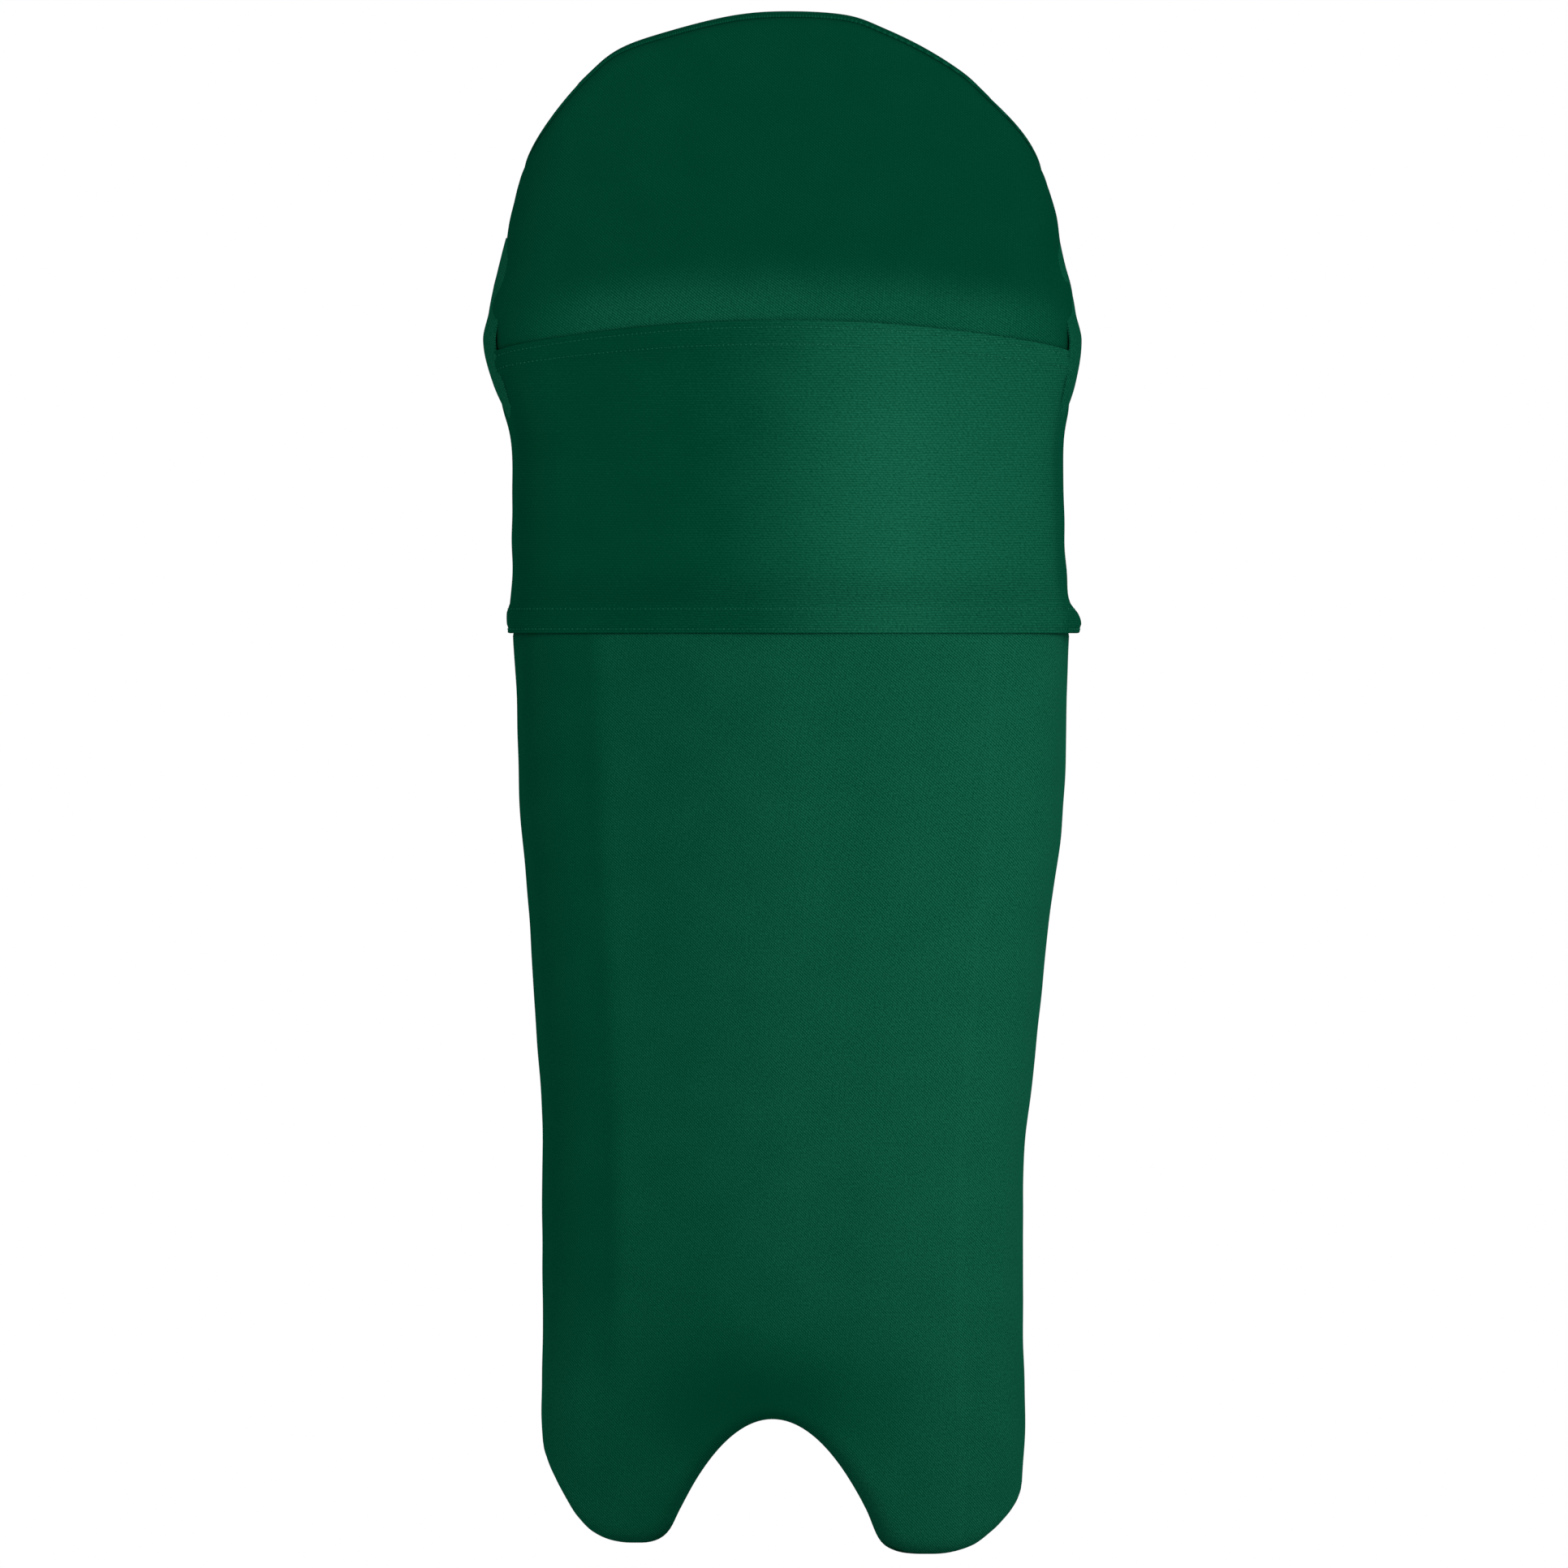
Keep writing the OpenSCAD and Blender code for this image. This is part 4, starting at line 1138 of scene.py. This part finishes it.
STRAP_T = 2.2 * MM
ROOT, OPEN = math.radians(5), math.radians(148)


class Strap:
    """Half an ellipse behind the leg, worked out from the CAD webbing's box."""

    def __init__(self, name):
        low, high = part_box(f"{name}_strap_webbing")
        self.a = (high.x - low.x) / (math.cos(ROOT) - math.cos(OPEN)) - STRAP_T / 2
        self.b = (high.y - low.y - STRAP_T / 2 * (1 + math.sin(ROOT))) / (1 - math.sin(ROOT))
        self.x = low.x + (self.a + STRAP_T / 2) * math.cos(ROOT)
        self.y = high.y - self.b - STRAP_T / 2
        self.z, self.w = (low.z + high.z) / 2, high.z - low.z

    def at(self, t, out, up):
        """A point t degrees round from the left root, out from the webbing's middle and up its width."""
        t, out, up = np.broadcast_arrays(np.radians(t), np.asarray(out, float), np.asarray(up, float))
        x, y = self.x - (self.a + out) * np.cos(t), self.y + (self.b + out) * np.sin(t)
        return np.stack([x, y, self.z + up], -1)

    def run(self, t):
        return np.radians(t) * (self.a + self.b) / 2


def strap_slab(name, strap, t0, t1, out0, out1, width, relief=None, columns=90, rows=15, corner=0.5 * MM):
    """A flat closed band along a strap with rounded edges."""
    t = np.linspace(t0, t1, columns)
    half = width / 2
    v = np.concatenate([[-half], np.linspace(-half + corner * 0.3, half - corner * 0.3, rows), [half]])
    thick = (out1 - out0) / 2
    edge = np.clip((half - np.abs(v)) / corner, 0, 1)
    crown = thick * (0.35 + 0.65 * np.sqrt(1 - (1 - edge) ** 2))
    rounds = np.concatenate([(out0 + out1) / 2 + crown, ((out0 + out1) / 2 - crown)[::-1]])
    ups = np.concatenate([v, v[::-1]])
    end = np.ones(columns)
    end[0] = end[-1] = 0.55
    out = (out0 + out1) / 2 + (rounds - (out0 + out1) / 2)[None] * end[:, None]
    tt, up = t[:, None] + 0 * out, ups[None] + 0 * out
    if relief is not None:
        out = out + relief(strap.run(tt), up) * np.sign(rounds - (out0 + out1) / 2)[None]
    index = ring_index(out.shape)
    faces = grid_faces(index) + [index[0, :-1].tolist(), index[-1, -2::-1].tolist()]
    return mesh_piece(name, strap.at(tt, out, up), faces, cloth_of(strap.run(tt), up))


def strap_stitches(name, strap, paths, out):
    """Rows of stitches on a strap, along paths of (degrees, up) points."""
    parts = []
    for path in paths:
        path = np.asarray(path, float)
        fine = np.linspace(0, len(path) - 1, 120)
        t, up = (np.interp(fine, np.arange(len(path)), path[:, i]) for i in (0, 1))
        parts += stitch_row(strap.at(t, out, up), 2.8 * MM, 2.0 * MM, 0.3 * MM)
    return joined(name, parts)


def frame_path(t0, t1, half, inset_t=1.2, inset=2.5 * MM):
    t0, t1, h = t0 + inset_t, t1 - inset_t, half - inset
    return [(t0, -h), (t1, -h), (t1, h), (t0, h), (t0, -h)]


def ribbing(run, up):
    return 0.12 * MM * np.sin(up / (1.15 * MM) * math.pi) * np.sin(run / (1.5 * MM) * math.pi)


def stuffed_strap_pad(name, strap):
    t = 80 + 37.5 * np.sin(np.linspace(-math.pi / 2, math.pi / 2, 70))
    taper = np.sqrt(np.maximum(0.03, 1 - np.abs((t - 80) / 38) ** 9))
    a = np.linspace(0, 2 * math.pi, 40, endpoint=False)
    power = lambda c, n: np.sign(c) * np.abs(c) ** n
    up = taper[:, None] ** 0.5 * (strap.w / 2 + 3 * MM) * power(np.cos(a), 0.6)
    out = -STRAP_T / 2 - 3.8 * MM + taper[:, None] * 2.6 * MM * power(np.sin(a), 0.7)
    index = ring_index(out.shape)
    faces = grid_faces(index, flip=True) + [index[0, :-1].tolist()[::-1], index[-1, :-1].tolist()]
    tt = np.broadcast_to(t[:, None], out.shape)
    return stuffed(mesh_piece(name, strap.at(tt, out, up).reshape(-1, 3), faces), 2.2 * MM, 2.0, 1.2 * MM)


for name, left_body, right_body, end_s in (("ankle", "wing_left", "wing_right", WING_END),
                                           ("calf", "wing_left", "wing_right", WING_END),
                                           ("knee", "knee", "knee", KNEE_END)):
    strap = Strap(name)
    half = strap.w / 2
    pieces = [
        (strap_slab(f"{name}_strap_web", strap, 5, 148, -STRAP_T / 2, STRAP_T / 2, strap.w, ribbing, 150,
                    25),
         "webbing", "webbing", f"{name}_strap", f"{name}_strap_webbing"),
        (cloth_from_place(stuffed_strap_pad(f"{name}_strap_pad_stuffed", strap)),
         "padding", "lining", f"{name}_strap", f"{name}_strap_pad"),
        (strap_slab(f"{name}_strap_hook_patch", strap, 124, 147, -STRAP_T / 2 - 1.6 * MM,
                    -STRAP_T / 2 - 0.1 * MM, strap.w - 4 * MM),
         "hook", "hook_and_loop", f"{name}_strap", f"{name}_strap_hook"),
        (strap_slab(f"{name}_strap_loop_tab", strap, 153, 178, -STRAP_T / 2, STRAP_T / 2, strap.w, ribbing,
                    40, 25),
         "loop", "hook_and_loop", right_body, f"{name}_strap_tab"),
    ]
    for o, look, slot, body, node in pieces:
        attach(dressed(o, look), body)
        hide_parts(node)
    paths = [frame_path(124, 147, half - 2 * MM), frame_path(42, 118, half - 1 * MM, 2.0)]
    sewn = strap_stitches(f"{name}_strap_stitches", strap, paths, STRAP_T / 2 + 0.1 * MM)
    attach(dressed(sewn, "white_thread"), f"{name}_strap")

    # the webbing's sewn roots, from the inner face of the pad's edges round to the strap and to the tab
    for side, side_name, turn, body in ((-1, "left", (5, 9), left_body),
                                        (1, "right", (178, 174), right_body)):
        inner_s = side * (end_s - np.array([28, 20, 12, 4, -1]) * MM)
        way = [at(s, strap.z, 28.9 * MM) for s in inner_s] + [strap.at(a, 0, 0) for a in turn]
        knots = [(p[0] / MM, p[1] / MM) for p in way]
        curve = spline(knots, 1.5 * MM)
        off = np.gradient(curve, axis=0)
        off /= np.linalg.norm(off, axis=1, keepdims=True)
        off = np.stack([off[:, 1], -off[:, 0]], -1)
        ups = np.linspace(-half, half, 21)
        run = np.arange(len(curve)) * 1.5 * MM
        rib = ribbing(run[:, None], ups[None])
        flat = [curve[:, None] + off[:, None] * (k * STRAP_T * 0.45 + rib * k)[..., None] for k in (1, -1)]
        shell = np.concatenate([flat[0], flat[1][:, ::-1]], 1)
        height = np.concatenate([ups, ups[::-1]]) + strap.z
        points = np.concatenate([shell, np.broadcast_to(height[None, :, None], shell.shape[:2] + (1,))], -1)
        index = ring_index(points.shape)
        faces = grid_faces(index) + [index[0, :-1].tolist(), index[-1, -2::-1].tolist()]
        cloth = cloth_of(run[:, None], height[None] - strap.z)
        root = mesh_piece(f"{name}_strap_root_{side_name}", points, faces, cloth)
        dressed(root, "webbing")
        if side < 0:
            pivot = strap.at(5, 0, 0)
            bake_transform(root)
        else:
            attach(root, body)

    # the patch sewn inside the left edge that holds the strap's root
    grid = box_grid(-end_s - 2.5 * MM, -end_s + 34 * MM, strap.z - half - 4 * MM, strap.z + half + 4 * MM,
                    1.5 * MM)
    weave = lambda s, z: 0.1 * MM * np.sin(s / (1.4 * MM) * math.pi) * np.sin(z / (1.4 * MM) * math.pi)
    patch = layer(f"{name}_strap_patch", grid, 25.7 * MM, 27.5 * MM, 0.8 * MM, weave)
    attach(dressed(patch, "webbing"), left_body)
    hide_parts(f"{name}_strap_anchor")
    a, b = -end_s + 3 * MM, -end_s + 30 * MM
    low, high = strap.z - half, strap.z + half
    corners = [(a, low), (b, low), (b, high), (a, high), (a, low), (b, high), (b, low), (a, high)]
    path = np.array([(p[0] + (q[0] - p[0]) * f, p[1] + (q[1] - p[1]) * f)
                     for p, q in zip(corners, corners[1:]) for f in np.linspace(0, 1, 20)])
    sewn = seam_stitches(f"{name}_strap_patch_stitches", [path], lambda s, z: 27.6 * MM + 0 * s, 2.8 * MM)
    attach(dressed(sewn, "white_thread"), left_body)


# ---- Looks of the CAD pieces that stay: canes, stiffeners and knee rolls ----

for node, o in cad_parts.items():
    look = "cane" if "cane" in node or "stiffener" in node else "foam" if "roll" in node else None
    if look:
        o.data.materials.clear()
        o.data.materials.append(M[look])


# ---- Stage ----

def soft_light(name, place, aim, size, energy):
    data = bpy.data.lights.new(name, "AREA")
    data.shape, data.size, data.energy = "DISK", size, energy
    o = bpy.data.objects.new(name, data)
    o.location = place
    o.rotation_euler = (Vector(aim) - Vector(place)).to_track_quat("-Z", "Y").to_euler()
    bpy.context.scene.collection.objects.link(o)
    return o


bpy.ops.mesh.primitive_circle_add(vertices=96, radius=40, fill_type="NGON", location=(0, 0, -1.5 * MM))
floor = bpy.context.active_object
floor.name = "floor"
paper = Nodes("studio_paper")
grain = paper.noise(paper.add("ShaderNodeTexCoord").outputs["Object"], 6.0, 3)
shade = paper.mix(grain, (0.86, 0.86, 0.86, 1), (0.9, 0.9, 0.9, 1))
floor.data.materials.append(paper.finish(shade, None, 0, 0.9))

soft_light("key", (0.75, -1.5, 1.05), (0.02, 0, 0.42), 0.7, 13)
soft_light("fill", (-1.6, -1.4, 0.7), (0, 0, 0.35), 1.4, 3)
soft_light("rear", (0.4, 1.9, 1.2), (0, 0, 0.35), 1.4, 9)

world = bpy.data.worlds.new("studio")
world.use_nodes = True
tree = world.node_tree
sky = tree.nodes["Background"]
sky.inputs["Color"].default_value = (1, 1, 1, 1)
sky.inputs["Strength"].default_value = 0.62
seen = tree.nodes.new("ShaderNodeBackground")
seen.inputs["Color"].default_value = (1, 1, 1, 1)
chosen = tree.nodes.new("ShaderNodeMixShader")
path = tree.nodes.new("ShaderNodeLightPath")
tree.links.new(path.outputs["Is Camera Ray"], chosen.inputs[0])
tree.links.new(sky.outputs[0], chosen.inputs[1])
tree.links.new(seen.outputs[0], chosen.inputs[2])
tree.links.new(chosen.outputs[0], tree.nodes["World Output"].inputs[0])
bpy.context.scene.world = world
bpy.context.scene.view_settings.view_transform = "Standard"

camera = bpy.data.cameras.new("camera")
camera.type = "ORTHO"
camera.ortho_scale = VIEW_WIDTH
eye = bpy.data.objects.new("camera", camera)
eye.location = (CENTRE[0], -3, CENTRE[1])
eye.rotation_euler = (math.pi / 2, 0, 0)
bpy.context.scene.collection.objects.link(eye)
bpy.context.scene.camera = eye
